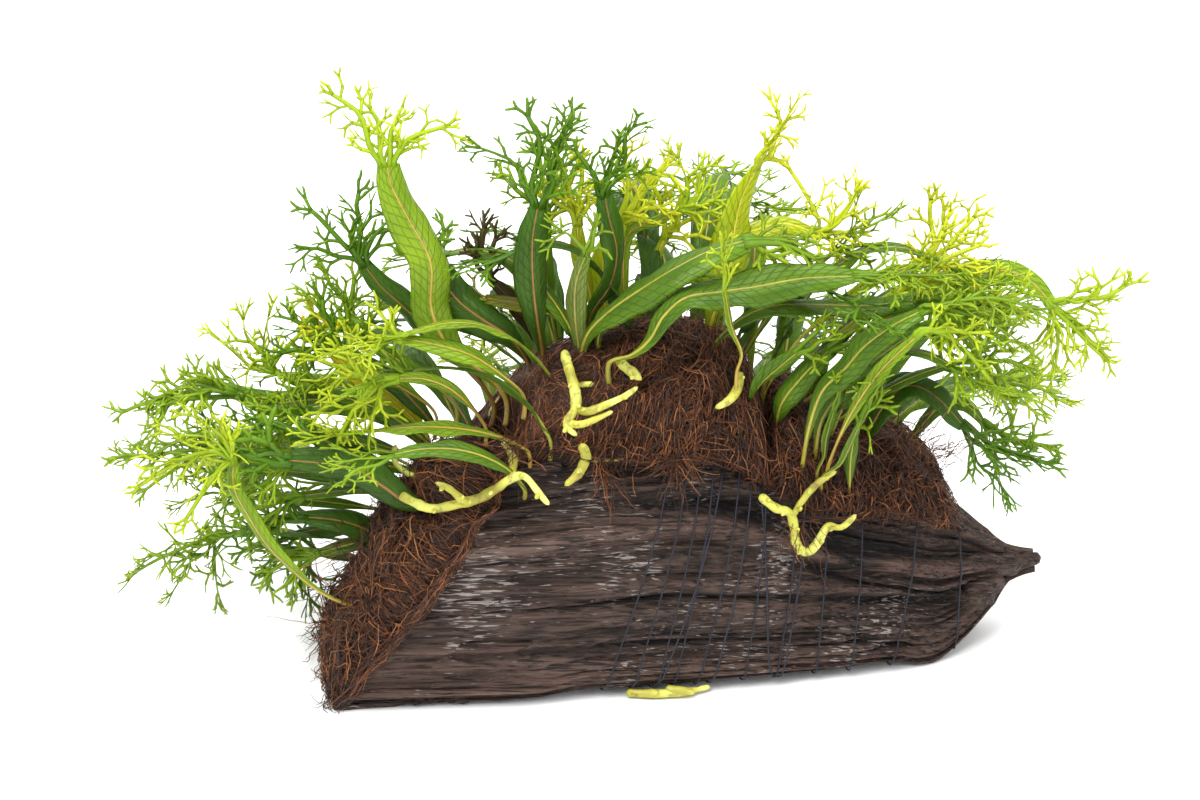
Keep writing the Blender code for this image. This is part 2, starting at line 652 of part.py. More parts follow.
def leaf_rows(leaf, points):
    """The sheet of a leaf: cross rows of the stalk and blade, then of each fork. A row is its middle, its way
    across, its half width, and which of the leaf's own points it hangs on, as weights."""
    wide, stalk, facing, count, tips = leaf
    middle = points[:count]
    shares = np.array([0, 0.5, 1]) * stalk
    shares = np.concatenate([shares, stalk + (1 - stalk) * np.array([0.2, 0.45, 0.72, 1])])
    halves = np.array([STALK_WIDE, STALK_WIDE, max(STALK_WIDE, 0.25 * wide), 0.85 * wide, wide, 0.7 * wide, 0.34 * wide]) / 2
    path, where = smooth_path(middle, shares)
    forward = unit(np.gradient(path, axis=0))
    across = unit(np.cross(forward, facing))
    weights = np.zeros((len(path), len(points)))
    low = np.clip(where.astype(int), 0, count - 2)
    rows = np.arange(len(path))
    weights[rows, low] = 1 - (where - low)
    weights[rows, low + 1] = where - low
    arms = []
    order = np.argsort(turned(points[count:] - path[-1], forward[-1], across[-1]))
    for k, tip in enumerate(order):
        target = points[count + tip]
        root = path[-1] + across[-1] * halves[-1] * ((2 * k + 1) / tips - 1)
        bend = root + forward[-1] * 0.45 * np.linalg.norm(target - root)
        t = np.array([0.0, 0.5, 1.0])[:, None]
        arm = (1 - t) ** 2 * root + 2 * t * (1 - t) * bend + t**2 * target
        sideways = unit(np.cross(unit(np.gradient(arm, axis=0)), facing))
        arm_weights = np.zeros((len(t), len(points)))
        arm_weights[:, count - 1] = 1 - t[:, 0]
        arm_weights[:, count + tip] = t[:, 0]
        arms.append((arm, sideways, np.array([halves[-1] / tips, min(1.0, 1.2 * halves[-1] / tips), ARM_TIP_WIDE / 2]), arm_weights))
    return (path, across, halves, weights), arms


def leaf_samples(leaf, points):
    """Points spread over a leaf's sheet, and the weights of the leaf's own points on each."""
    blade, arms = leaf_rows(leaf, points)
    spread, hung = [], []
    for path, across, halves, weights in [blade, *arms]:
        steps = np.linalg.norm(np.diff(path, axis=0), axis=1)
        for k, step in enumerate(steps):
            lanes = max(2, int(np.ceil((halves[k] + halves[k + 1]) / 1.8)) + 1)
            t = np.linspace(0, 1, int(np.ceil(step / 1.8)) + 1)[:-1, None, None]
            lane = np.linspace(-1, 1, lanes)[None, :, None]
            left = path[k] + across[k] * halves[k] * lane
            right = path[k + 1] + across[k + 1] * halves[k + 1] * lane
            spread.append((left * (1 - t) + right * t).reshape(-1, 3))
            share = (weights[k] * (1 - t) + weights[k + 1] * t) * np.ones((1, lanes, 1))
            hung.append(share.reshape(-1, len(points)))
    return np.concatenate(spread), np.concatenate(hung)


def close_pairs(spots, reach):
    """Pairs of spots less than reach apart, from a grid of cells that size."""
    cells = np.floor(spots / reach).astype(np.int64)
    cells -= cells.min(axis=0) - 1
    size = cells.max(axis=0) + 2
    key = (cells[:, 0] * size[1] + cells[:, 1]) * size[2] + cells[:, 2]
    order = np.argsort(key, kind="stable")
    ordered = key[order]
    ones, others = [], []
    for step in np.ndindex(3, 3, 3):
        wanted = key + ((step[0] - 1) * size[1] + step[1] - 1) * size[2] + step[2] - 1
        start, stop = np.searchsorted(ordered, wanted), np.searchsorted(ordered, wanted, side="right")
        count = stop - start
        one = np.repeat(np.arange(len(spots)), count)
        place = np.arange(count.sum()) - np.repeat(np.cumsum(count) - count, count) + np.repeat(start, count)
        ones.append(one)
        others.append(order[place])
    ones, others = np.concatenate(ones), np.concatenate(others)
    gap = np.linalg.norm(spots[ones] - spots[others], axis=1)
    kept = (gap < reach) & (ones < others)
    return ones[kept], others[kept], gap[kept]


def settle(leaves, solids, rounds=45):
    """Moves the leaves' own points a little so that no two leaves meet and none runs into a solid: leaves part
    along the eye's lines, in the order they already lie in, and leave a solid the shortest way."""
    for _ in range(rounds):
        sampled = [leaf_samples(leaf, points) for leaf, points in leaves]
        spots = np.concatenate([spread for spread, _ in sampled])
        owner = np.repeat(np.arange(len(leaves)), [len(spread) for spread, _ in sampled])
        first = np.searchsorted(owner, np.arange(len(leaves)))
        ones, others, gap = close_pairs(spots, LEAF_SPACING)
        apart = owner[ones] != owner[others]
        ones, others, gap = ones[apart], others[apart], gap[apart]
        pair = owner[ones] * len(leaves) + owner[others]
        lean = np.bincount(pair, spots[ones, 1] - spots[others, 1], len(leaves) ** 2)
        order = np.where(lean[pair] >= 0, 1.0, -1.0)
        push = ((LEAF_SPACING - gap) * order * 0.6)[:, None] * unit(spots[ones] - EYE)
        moves = np.zeros_like(spots)
        np.add.at(moves, ones, push)
        np.add.at(moves, others, -push)
        touched = np.bincount(ones, minlength=len(spots)) + np.bincount(others, minlength=len(spots))
        moves /= np.maximum(touched, 1)[:, None]
        for k, spot in enumerate(spots):
            for solid in solids:
                out = pushed_out(spot, solid, LEAF_CLEARANCE)
                if out.any():
                    moves[k] = out
                    touched[k] = 1
        low = spots[:, 2] < 1.0
        moves[low, 2] = 1.0 - spots[low, 2]
        touched[low] = 1
        if not touched.any():
            break
        for k, (_, points) in enumerate(leaves):
            _, hung = sampled[k]
            rows = slice(first[k], first[k] + len(hung))
            pull = hung * (touched[rows, None] > 0)
            points += (pull.T @ moves[rows]) / np.maximum(pull.sum(axis=0), 0.7)[:, None]


MOST_TURN = math.radians(80)  # the sharpest that a fork of a crest turns off
LEAST_SPREAD = math.radians(16)  # the smallest angle between two forks


def grown(leaf, solids):
    """A leaf's points, its stalk cut off where it comes out of the roots, and only the forks that spread well."""
    wide, stalk, facing, midrib, tips = leaf
    middle = pin(midrib)
    fine, where = smooth_path(middle, np.linspace(0, 1, 120))
    clear = [not any(is_inside(spot, solid) or pushed_out(spot, solid, LEAF_CLEARANCE).any() for solid in solids) for spot in fine]
    start = where[clear.index(True)]
    kept = np.concatenate([smooth_rows(middle, [start]), middle[int(start) + 1 :]])
    facing = np.array(FACING[facing], float)
    ahead = unit(fine[-1] - fine[-3])
    tips = pin(tips)
    angles = turned(tips - fine[-1], ahead, unit(np.cross(ahead, facing)))
    forks = []
    reach = np.linalg.norm(tips - fine[-1], axis=1)
    for k in np.argsort(angles):
        if abs(angles[k]) > MOST_TURN:
            continue
        if not forks or angles[k] - angles[forks[-1]] > LEAST_SPREAD:
            forks.append(k)
        elif reach[k] > reach[forks[-1]]:
            forks[-1] = k
    points = np.concatenate([kept, tips[forks]])
    return (wide, stalk, facing, len(kept), len(forks)), points


def make_leaf(name, leaf, points, finish):
    """A flat sheet of quads along the midrib, whose end divides into the forks of the crest, given a thickness."""
    (path, across, halves, _), arms = leaf_rows(leaf, points)
    spots, faces = [], []
    for centre, side, half in zip(path[:-1], across[:-1], halves[:-1]):
        spots += [centre - side * half, centre + side * half]
    neck = len(spots)
    for k in range(len(arms) + 1):
        spots.append(path[-1] + across[-1] * halves[-1] * (2 * k / len(arms) - 1))
    for i in range(0, neck - 2, 2):
        faces.append([i, i + 1, i + 3, i + 2])
    faces.append([neck - 2, neck - 1, *range(neck + len(arms), neck - 1, -1)])
    for k, (arm, sideways, arm_halves, _) in enumerate(arms):
        left, right = neck + k, neck + k + 1
        for centre, side, half in list(zip(arm, sideways, arm_halves))[1:]:
            spots += [centre - side * half, centre + side * half]
            faces.append([left, right, len(spots) - 1, len(spots) - 2])
            left, right = len(spots) - 2, len(spots) - 1
    made = mesh_object(name, np.array(spots), faces, finish)
    solidify = made.modifiers.new("thickness", "SOLIDIFY")
    solidify.thickness = LEAF_THICK * MM
    solidify.offset = 0


def main():
    for old in list(bpy.data.objects):
        bpy.data.objects.remove(old)
    wood = material("wet_dark_wood", (0.035, 0.024, 0.020), 0.45)
    root = material("brown_roots", (0.10, 0.04, 0.02), 0.8)
    stem = material("rhizome_yellow_green", (0.40, 0.40, 0.04), 0.4)
    green = material("leaf_green", (0.08, 0.24, 0.02), 0.4)
    black = material("black_cotton", (0.012, 0.012, 0.02), 0.8)
    shapes = {"driftwood": driftwood(), "roots_on_sawn_end": mat_on_end()}
    for name in MATS:
        shapes[name] = mat_over_log(name)
    for name, shape in shapes.items():
        mesh_object(name, *shape, wood if name == "driftwood" else root)
    log = solid_of([shapes.pop("driftwood")])
    roots = solid_of(shapes.values())
    solids = [log, roots, solid_of(make_rhizomes(stem, [log, roots], log))]
    mesh_object("thread", *tube(thread_path(), THREAD_RADIUS, sides=3), black)
    leaves = [grown(leaf, solids) for leaf in LEAVES.values()]
    settle(leaves, solids)
    for name, (leaf, points) in zip(LEAVES, leaves):
        make_leaf(name, leaf, points, green)


main()
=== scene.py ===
"""Java fern on driftwood: a split log with mats of roots on it, creeping rhizomes, leaves whose tips divide
into crests of narrow straps, and the dark thread that ties the plant down.

Shapes are worked out in millimetres, measured from the middle of the log, with +Z up and -Y the front. Each
piece's mesh is moved to the frame's origin and to metres as it is made.
"""

import math

import bpy
import numpy as np
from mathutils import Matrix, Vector
from mathutils.bvhtree import BVHTree


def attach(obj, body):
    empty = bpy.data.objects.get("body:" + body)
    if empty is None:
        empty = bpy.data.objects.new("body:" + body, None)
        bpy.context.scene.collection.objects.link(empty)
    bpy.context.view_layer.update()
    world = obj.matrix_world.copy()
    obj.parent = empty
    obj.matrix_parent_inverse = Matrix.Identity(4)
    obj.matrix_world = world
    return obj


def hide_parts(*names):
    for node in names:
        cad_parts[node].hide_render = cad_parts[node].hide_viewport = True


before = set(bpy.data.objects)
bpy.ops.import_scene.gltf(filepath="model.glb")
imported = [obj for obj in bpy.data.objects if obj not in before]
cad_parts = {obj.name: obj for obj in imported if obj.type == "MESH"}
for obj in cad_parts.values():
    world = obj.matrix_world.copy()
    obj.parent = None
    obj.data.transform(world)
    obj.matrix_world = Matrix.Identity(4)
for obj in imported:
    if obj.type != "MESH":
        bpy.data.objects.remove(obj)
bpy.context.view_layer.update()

MM = 0.001
EYE = np.array([-12.0, -765.0, 420.0])  # where the plant's front view is drawn from
ORIGIN = np.array([-8.5, 21.5, 0.0])  # the middle of the plant, measured from the middle of the log
LOG_YAW = math.radians(8.0)
LOG_TURN = 12.0  # places in once round the log's section
LOG_GIRTH = 16.0  # millimetres in one place of the section, on average
MAT_GAP = 2.0

END_MAT_THICK = (3, 23)  # at the bottom and at the top of the sawn end
MAT_UPRIGHT = 1.3  # how much less a mat leans than the log under it: 1 is upright
LIFTED = np.array([0.0, -2.2, 1.2])  # rhizomes stand a little proud of the roots
HOLE = (96.0, 2.3, 4.0, 0.34, 7.0)  # the rotten hole: station, place round, half length, half width, depth
PARTED, FELT_PARTED = 3.6, 2.2  # how far the fibres and the felt give way under a rhizome
LOG_ROWS, LOG_FRONT_COLUMNS, LOG_BACK_COLUMNS = 470, 170, 36
LOG_FRONT = 4.4  # the log's front, with the finer grid, ends at this place round
FELT_ROWS, FELT_COLUMNS = 120, 80
FELT_TINT = (0.02, 0.01, 0.006)
DOME_ROWS, DOME_SIDES = 40, 96
RHIZOME_SIDES = 14
STALK_KIND = 1  # the second finish of a leaf
SIDE_FORKS, END_FORKS = 3, 2  # how many times a crest's straps fork, at its arms' sides and ends
THINNEST_STRAP = 0.36
ARCHING_APART = 4.2  # between the straps of an arching leaf's crest
ROOT_SPAN = (-60, 80)  # leaves root between these ends of the mats
FRINGE = 4.0  # how far fibres reach past a mat's edge
ROOTED = 8.0  # how far a stalk goes on into the roots
LOW, DEEP = 2.5, 60.0  # heights and depths where far-reaching leaves are drawn in
BLADE_COLUMNS = 13
BLADE_STEP = 0.9  # millimetres from one row of a blade to the next
WORLD_STRENGTH = 0.75
CAMERA_PLACE = np.array([-11.6, -765.18, 420.36])
CAMERA_TARGET = np.array([-11.6, 29.6, 66.5])

# Each station of the log: place along it, how far it leans along per mm of height, front, back, base, top.
LOG_STATIONS = np.array(
    [
        (-90, 0.82, -23, 26, 0, 62),
        (-60, 0.60, -25, 29, 0, 66),
        (-34, 0.43, -26, 31, 0, 69),
        (-22, 0.35, -26, 31, 1.7, 69),
        (0, 0.22, -26, 32, 1.7, 70),
        (30, 0.08, -25, 31, 1.7, 64),
        (55, 0.00, -24, 28, 1.7, 54),
        (72, 0.00, -22, 24, 1.7, 48),
        (77, 0.00, -21, 22, 0, 46),
        (83, 0.00, -19, 20, 0, 43),
        (93, 0.00, -14, 16, 5, 38),
        (103, 0.00, -8, 9, 12, 30),
        (108, 0.00, -4, 4, 17, 26),
        (116, 0.00, -2.5, 2, 19, 24),
    ],
    float,
)

# The log's section, from its front lower edge up over the ridge and down the back: across and up, as shares.
LOG_SECTION = np.array(
    [
        (-0.93, 0.00),
        (-1.00, 0.10),
        (-0.98, 0.36),
        (-0.84, 0.64),
        (-0.56, 0.87),
        (-0.18, 0.98),
        (0.25, 1.00),
        (0.62, 0.88),
        (0.88, 0.62),
        (1.00, 0.32),
        (0.92, 0.00),
        (0.00, 0.00),
    ]
)

# Each mat over the log: first and last station, where it starts on the front and ends on the back (places in
# LOG_SECTION), and its thickness at the front edge, over the ridge at its left and right, and at the back
# edge.
MATS = {
    "roots_middle": ((-87, 28), (3.3, 8.8), (7, 31, 20, 8)),
    "roots_right": ((32, 88), (3.7, 8.8), (7, 15, 12, 7)),
}

# Each rhizome: its radius, then its branches, each a line of places (x, height) on the board. It lies on
# whatever the eye sees there. A second branch starts inside the first.
RHIZOMES = {
    "rhizome_left": (
        1.9,
        ((-68, 50), (-60, 46), (-53, 47), (-46, 49), (-41, 52), (-37, 55), (-33, 56), (-29, 51), (-26, 47)),
        ((-37, 55), (-36, 59), (-36, 62), (-39, 66.5)),
        ((-50, 48), (-54, 52), (-58, 54)),
    ),
    "rhizome_left_upper": (1.7, ((-35.5, 82), (-40, 78), (-42, 73), (-41, 68.5))),
    "rhizome_middle": (
        1.9,
        ((-21.5, 94), (-20, 88), (-18.5, 82), (-18.5, 77), (-21, 72), (-18, 68.5)),
        ((-19, 77), (-15, 76), (-10, 78), (-5, 80.5), (-1, 83.5)),
        ((-21, 72.5), (-17, 72), (-12, 74), (-8, 76)),
    ),
    "rhizome_middle_lower": (1.8, ((-17, 66), (-15.5, 62), (-17.5, 57), (-21.5, 53))),
    "rhizome_top": (2.0, ((-7, 91.5), (-4, 89), (0, 85.5))),
    "rhizome_upper_right": (1.8, ((27, 88), (27, 84), (24.5, 79.5), (20.5, 77))),
    "rhizome_right": (
        1.8,
        ((33.5, 50), (38, 46), (42, 44.5), (43.5, 40), (44, 35.5), (47, 32), (50, 34.5), (53, 40),
            (57, 40), (61, 44)),
        ((43, 43.5), (46, 49), (50, 54), (55, 57.5)),
    ),
}

FACING = {
    "front": (0, -1, 0.35),
    "up": (0, -0.5, 1),
    "left": (-0.8, -1, 0.3),
    "right": (0.8, -1, 0.3),
    "back": (0, 1, 0.6),
}


# name: width of the blade, share of the length that is stalk, the way its face looks, the places that its
# midrib passes (x, height, depth on the board), and the tips of the main forks of its crest.
LEAVES = {
    "leaf_tall_left": (
        12, 0.25, "front",
        ((-38, 80, 6), (-44, 88, 3), (-53, 95, 1), (-58, 107, 0), (-58, 121, 0), (-64, 134, 1),
         (-68, 143, 1), (-69, 149, 1)),
        ((-83, 169, 0), (-73, 165, 4), (-66, 162, 2), (-53, 160, 0)),
    ),
    "leaf_low_bright": (
        7.5, 0.30, "up",
        ((-33, 81, -6), (-39, 87, -9), (-47, 93, -11), (-56, 96, -12), (-66, 98, -12)),
        ((-74, 99, -12), (-73, 95.5, -12)),
    ),
    "leaf_left_crested": (
        9, 0.35, "front",
        ((-42, 80, 12), (-53, 95, 9), (-60, 102, 9), (-66, 108, 8), (-72, 114, 8), (-76, 120, 8)),
        ((-90, 136, 8), (-91, 125, 6), (-77, 141, 12), (-68, 134, 10)),
    ),
    "leaf_left_wing": (
        11, 0.30, "front",
        ((-31, 90, 14), (-37, 99, 9), (-44, 104, 7), (-51, 110, 6), (-56, 118, 6), (-57, 123, 6)),
        ((-54, 130, 6), (-60, 130, 9)),
    ),
    "leaf_low_olive": (
        7, 0.25, "up",
        ((-16, 92, 14), (-24, 106, 10), (-34, 109, 9), (-43, 111, 9)),
        ((-50, 113, 9), (-48, 110, 10)),
    ),
    "leaf_dark_centre_left": (
        10, 0.30, "front",
        ((-27, 90, 10), (-29, 104, 5), (-30, 116, 4), (-30, 127, 4), (-28.5, 137, 4)),
        ((-44, 154, 2), (-31, 163, 5), (-19, 164, 8), (-17, 158, 3)),
    ),
    "leaf_light_crest_centre": (
        5, 0.55, "front",
        ((-13, 90, 16), (-14, 110, 13), (-17, 122, 12), (-18, 132, 12)),
        ((-22.5, 149, 12), (-16.5, 149, 14), (-19, 143, 10), (-25.5, 140, 12)),
    ),
    "leaf_grey_back": (
        6.7, 0.25, "left",
        ((-17, 91, 5), (-18.5, 105, 2), (-18, 115, 1), (-15.5, 123, 0)),
        ((-13, 131, 0), (-22, 130, 1)),
    ),
    "leaf_dark_centre": (
        9.5, 0.25, "right",
        ((-16, 92, 9), (-14, 105, 7), (-9, 114, 6), (-7, 124, 6), (-9, 134, 6), (-10, 140, 6)),
        ((-18, 153, 5), (-10, 158, 8), (-2.5, 160, 6), (-1, 147, 4)),
    ),
    "leaf_olive_back": (
        7, 0.4, "front",
        ((-8, 90, 20), (-11, 116, 17), (-9, 126, 16), (-5, 133, 16)),
        ((-5, 151, 16), (6, 149.5, 18), (8, 144, 14), (5, 137, 16)),
    ),
    "leaf_strap_right": (
        3.8, 0.4, "left",
        ((-3, 90, 22), (-5, 115, 18), (-4, 129, 18), (4, 133, 18), (10, 136, 18)),
        ((9.5, 151, 18), (16, 147, 20), (19.5, 139, 16), (15, 141, 18)),
    ),
    "leaf_great_arch": (
        13, 0.28, "up",
        ((-17, 90, 4), (-15, 99, 0), (-9, 106, -3), (0, 113, -5), (9, 119, -6), (18, 124, -6),
         (28, 127, -5)),
        ((45, 124, -3), (52, 119, -2), (42, 119, -6)),
    ),
    "leaf_under_arch": (
        7.5, 0.4, "up",
        ((-11, 90, 2), (-12, 99, 2), (-6, 106, 2), (3, 112, 1), (12, 116, 1)),
        ((20, 120, 2), (22, 117, 0)),
    ),
    "leaf_bright_upright": (
        11, 0.30, "right",
        ((17, 92, 14), (20, 107, 12), (23, 120, 12), (24, 131, 12), (27, 140, 12), (31, 148, 12)),
        ((36, 158, 12), (41, 167, 12), (38.5, 162, 14)),
    ),
    "leaf_lime_arch": (
        8, 0.35, "up",
        ((20, 92, 18), (21, 113, 16), (25, 127, 14), (32, 132, 13), (39, 132.5, 13), (46, 130, 13)),
        ((39.5, 148, 16), (51.5, 148, 14), (58, 141, 12), (57, 130, 12)),
    ),
    "leaf_long_front": (
        11, 0.25, "up",
        ((-9, 91, -11), (-3, 93.5, -14), (2, 98, -15), (6, 105, -14), (12, 110.5, -13), (21, 112.5, -12),
         (31, 113.5, -11), (44, 116, -10), (58, 116.5, -9)),
        ((72, 120, -8), (82, 117, -8), (80, 111, -10), (70, 110, -9)),
    ),
    "leaf_second_long": (
        10, 0.30, "up",
        ((15, 89, 4), (25, 102, 1), (36, 108, 0), (50, 108.5, 0), (63, 108.5, 0), (75, 109.5, 0)),
        ((105, 106, 0), (102, 98, -2), (92, 96, 2), (95, 109, 0)),
    ),
    "leaf_upright_thin": (
        3.5, 0.5, "right",
        ((26.5, 88, -14), (27.5, 94, -16), (24.5, 102, -17), (22.5, 113, -18)),
        ((22, 124, -18), (24, 121, -18)),
    ),
    "leaf_mid_a": (
        7.5, 0.30, "right",
        ((30, 78, 2), (33, 84, -4), (38, 89, -6), (43, 94, -6)),
        ((49, 101, -6), (51, 98, -7)),
    ),
    "leaf_mid_b": (
        7.5, 0.35, "left",
        ((38, 68, 4), (39, 78, -2), (45, 87, -4), (52, 95, -4)),
        ((59, 101, -4), (61, 97, -5)),
    ),
    "leaf_front_a": (
        9, 0.40, "up",
        ((45.5, 60, -10), (47, 71, -15), (50, 82, -16), (56, 89, -17), (62, 96, -17), (70, 102.5, -17),
         (77, 106.5, -17)),
        ((110, 107, -17), (106, 96, -18), (96, 89, -17), (87, 108, -16)),
    ),
    "leaf_front_b": (
        10, 0.35, "right",
        ((49, 62, -6), (50.5, 73, -10), (55, 81, -11), (61.5, 88.5, -12), (70, 96, -12), (77.5, 101, -12)),
        ((100, 98, -12), (97, 88, -13), (88, 81, -12), (90, 102, -10)),
    ),
    "leaf_front_d": (
        4, 0.35, "right",
        ((51.5, 56, -14), (56, 60, -17), (59, 66, -18), (62, 74, -18)),
        ((69, 90, -18), (66, 84, -20)),
    ),
    "leaf_droop_right": (
        10, 0.35, "up",
        ((60, 58, 8), (64, 70, 5), (68.5, 79, 4), (73, 83.5, 4), (78, 83.5, 4), (84, 79, 3), (90, 72, 3)),
        ((115, 60, 4), (111, 66, 3), (107.5, 52, 4), (103, 50.5, 2)),
    ),
    "leaf_droop_right_back": (
        4.5, 0.4, "up",
        ((72, 60, 16), (82, 76, 14), (90, 78.5, 12), (96, 73, 11)),
        ((114, 65.5, 11), (106, 66, 12)),
    ),
    "leaf_far_arch": (
        9, 0.4, "up",
        ((44, 66, 12), (52, 84, 11), (63, 100, 10), (76, 110, 9), (88, 116, 9), (99, 118.5, 9),
         (107, 116, 9), (112, 110, 9)),
        ((132.5, 114, 9), (134, 100, 8), (129, 92, 10), (114, 85, 8), (122, 111, 10)),
    ),
    "leaf_fine_spray_right": (
        4, 0.4, "front",
        ((53, 60, -14), (58, 74, -20), (66, 88, -22), (76, 99, -22)),
        ((98, 84, -22), (90, 100, -22)),
    ),
    "leaf_left_shelf": (
        9, 0.25, "up",
        ((-62, 66, 10), (-75, 77, 9), (-89, 79.5, 9), (-103, 79, 9), (-113, 82, 9)),
        ((-136, 82, 9), (-145, 76, 10), (-133, 75, 8), (-140, 67, 9), (-124, 86, 10)),
    ),
    "leaf_left_pair_top": (
        9, 0.25, "up",
        ((-64, 47, -8), (-70, 53, -12), (-77, 59, -12), (-84, 64.5, -11), (-93, 69, -10)),
        ((-106, 73, -10), (-104, 68, -11)),
    ),
    "leaf_left_pair_low": (
        11, 0.20, "front",
        ((-61, 46, -16), (-67, 48, -18), (-73, 53, -17), (-80, 58, -16), (-88, 60, -16), (-99, 61, -16)),
        ((-114, 63, -16), (-112, 59, -17)),
    ),
    "leaf_left_loop": (
        6, 0.35, "left",
        ((-80, 14, -16), (-86, 15.5, -20), (-92, 19.5, -21), (-99, 26, -20), (-106, 34, -19),
         (-111.5, 43, -18), (-115, 52, -18), (-115, 60, -18)),
        ((-132, 69, -18), (-136, 59, -19), (-126, 75, -17), (-129, 43, -20), (-142, 53, -19)),
    ),
    "leaf_left_low_blade": (
        8, 0.2, "up",
        ((-72, 34, 0), (-78, 39, -3), (-86, 42, -4), (-95, 43, -4)),
        ((-112, 40, -4), (-109, 36, -5), (-106, 43, -3)),
    ),
    "leaf_weeping_crest": (
        4, 0.4, "front",
        ((-44, 72, -2), (-52, 82, -10), (-60, 86, -12), (-68, 86, -12)),
        ((-90, 76, -12), (-86, 64, -14), (-76, 60, -13), (-82, 71, -11)),
    ),
    "leaf_floor_crest": (
        6, 0.35, "up",
        ((-70, 30, 8), (-86, 36, 11), (-102, 39, 14), (-116, 38, 17)),
        ((-149, 32, 20), (-146, 24, 22), (-121, 17, 20), (-134, 20, 24), (-127, 27, 17)),
    ),
    "leaf_yellow_stub": (
        7, 0.25, "left",
        ((-60, 68, 14), (-68, 78, 14), (-78, 86, 14), (-86, 94, 14)),
        ((-91, 108, 14), (-93, 101, 15)),
    ),
    "leaf_left_crest_b": (
        5, 0.4, "front",
        ((-52, 78, 14), (-60, 86, 14), (-68, 92, 14), (-76, 98, 14)),
        ((-87, 118, 14), (-79, 116, 16), (-92, 111, 13), (-73, 108, 14)),
    ),
    "leaf_left_crest_c": (
        5, 0.4, "up",
        ((-62, 68, 18), (-76, 80, 18), (-89, 85, 18), (-101, 88, 18)),
        ((-117, 98, 18), (-110, 104, 20), (-103, 105, 17), (-94, 100, 18)),
    ),
    "leaf_left_crest_d": (
        5, 0.4, "up",
        ((-66, 60, 20), (-84, 66, 22), (-102, 68, 23), (-116, 66, 23)),
        ((-147, 62, 23), (-140, 52, 25), (-146, 69, 22), (-135, 60, 23)),
    ),
    "leaf_back_left": (
        9, 0.25, "back",
        ((-52, 74, 24), (-60, 92, 34), (-68, 100, 46), (-78, 98, 58)),
        ((-92, 92, 70), (-86, 84, 76), (-80, 96, 74)),
    ),
    "leaf_back_centre_left": (
        10, 0.25, "back",
        ((-28, 86, 24), (-32, 106, 34), (-36, 114, 48), (-40, 110, 62)),
        ((-44, 96, 78), (-52, 106, 74), (-36, 104, 78)),
    ),
    "leaf_back_centre": (
        9, 0.25, "back",
        ((-2, 86, 26), (0, 106, 34), (2, 116, 46), (2, 116, 60)),
        ((2, 104, 78), (10, 112, 74), (-6, 112, 76)),
    ),
    "leaf_back_right": (
        9, 0.25, "back",
        ((22, 82, 26), (30, 100, 34), (38, 110, 46), (46, 110, 58)),
        ((56, 98, 74), (62, 108, 70), (50, 106, 74)),
    ),
    "leaf_back_far_right": (
        8, 0.3, "back",
        ((60, 60, 22), (72, 76, 32), (84, 84, 44), (96, 84, 54)),
        ((110, 76, 66), (114, 86, 62), (104, 70, 66)),
    ),
    "leaf_back_low_left": (
        8, 0.3, "back",
        ((-70, 48, 22), (-84, 60, 34), (-96, 66, 46), (-106, 64, 56)),
        ((-122, 58, 66), (-118, 70, 62), (-112, 52, 66)),
    ),
}


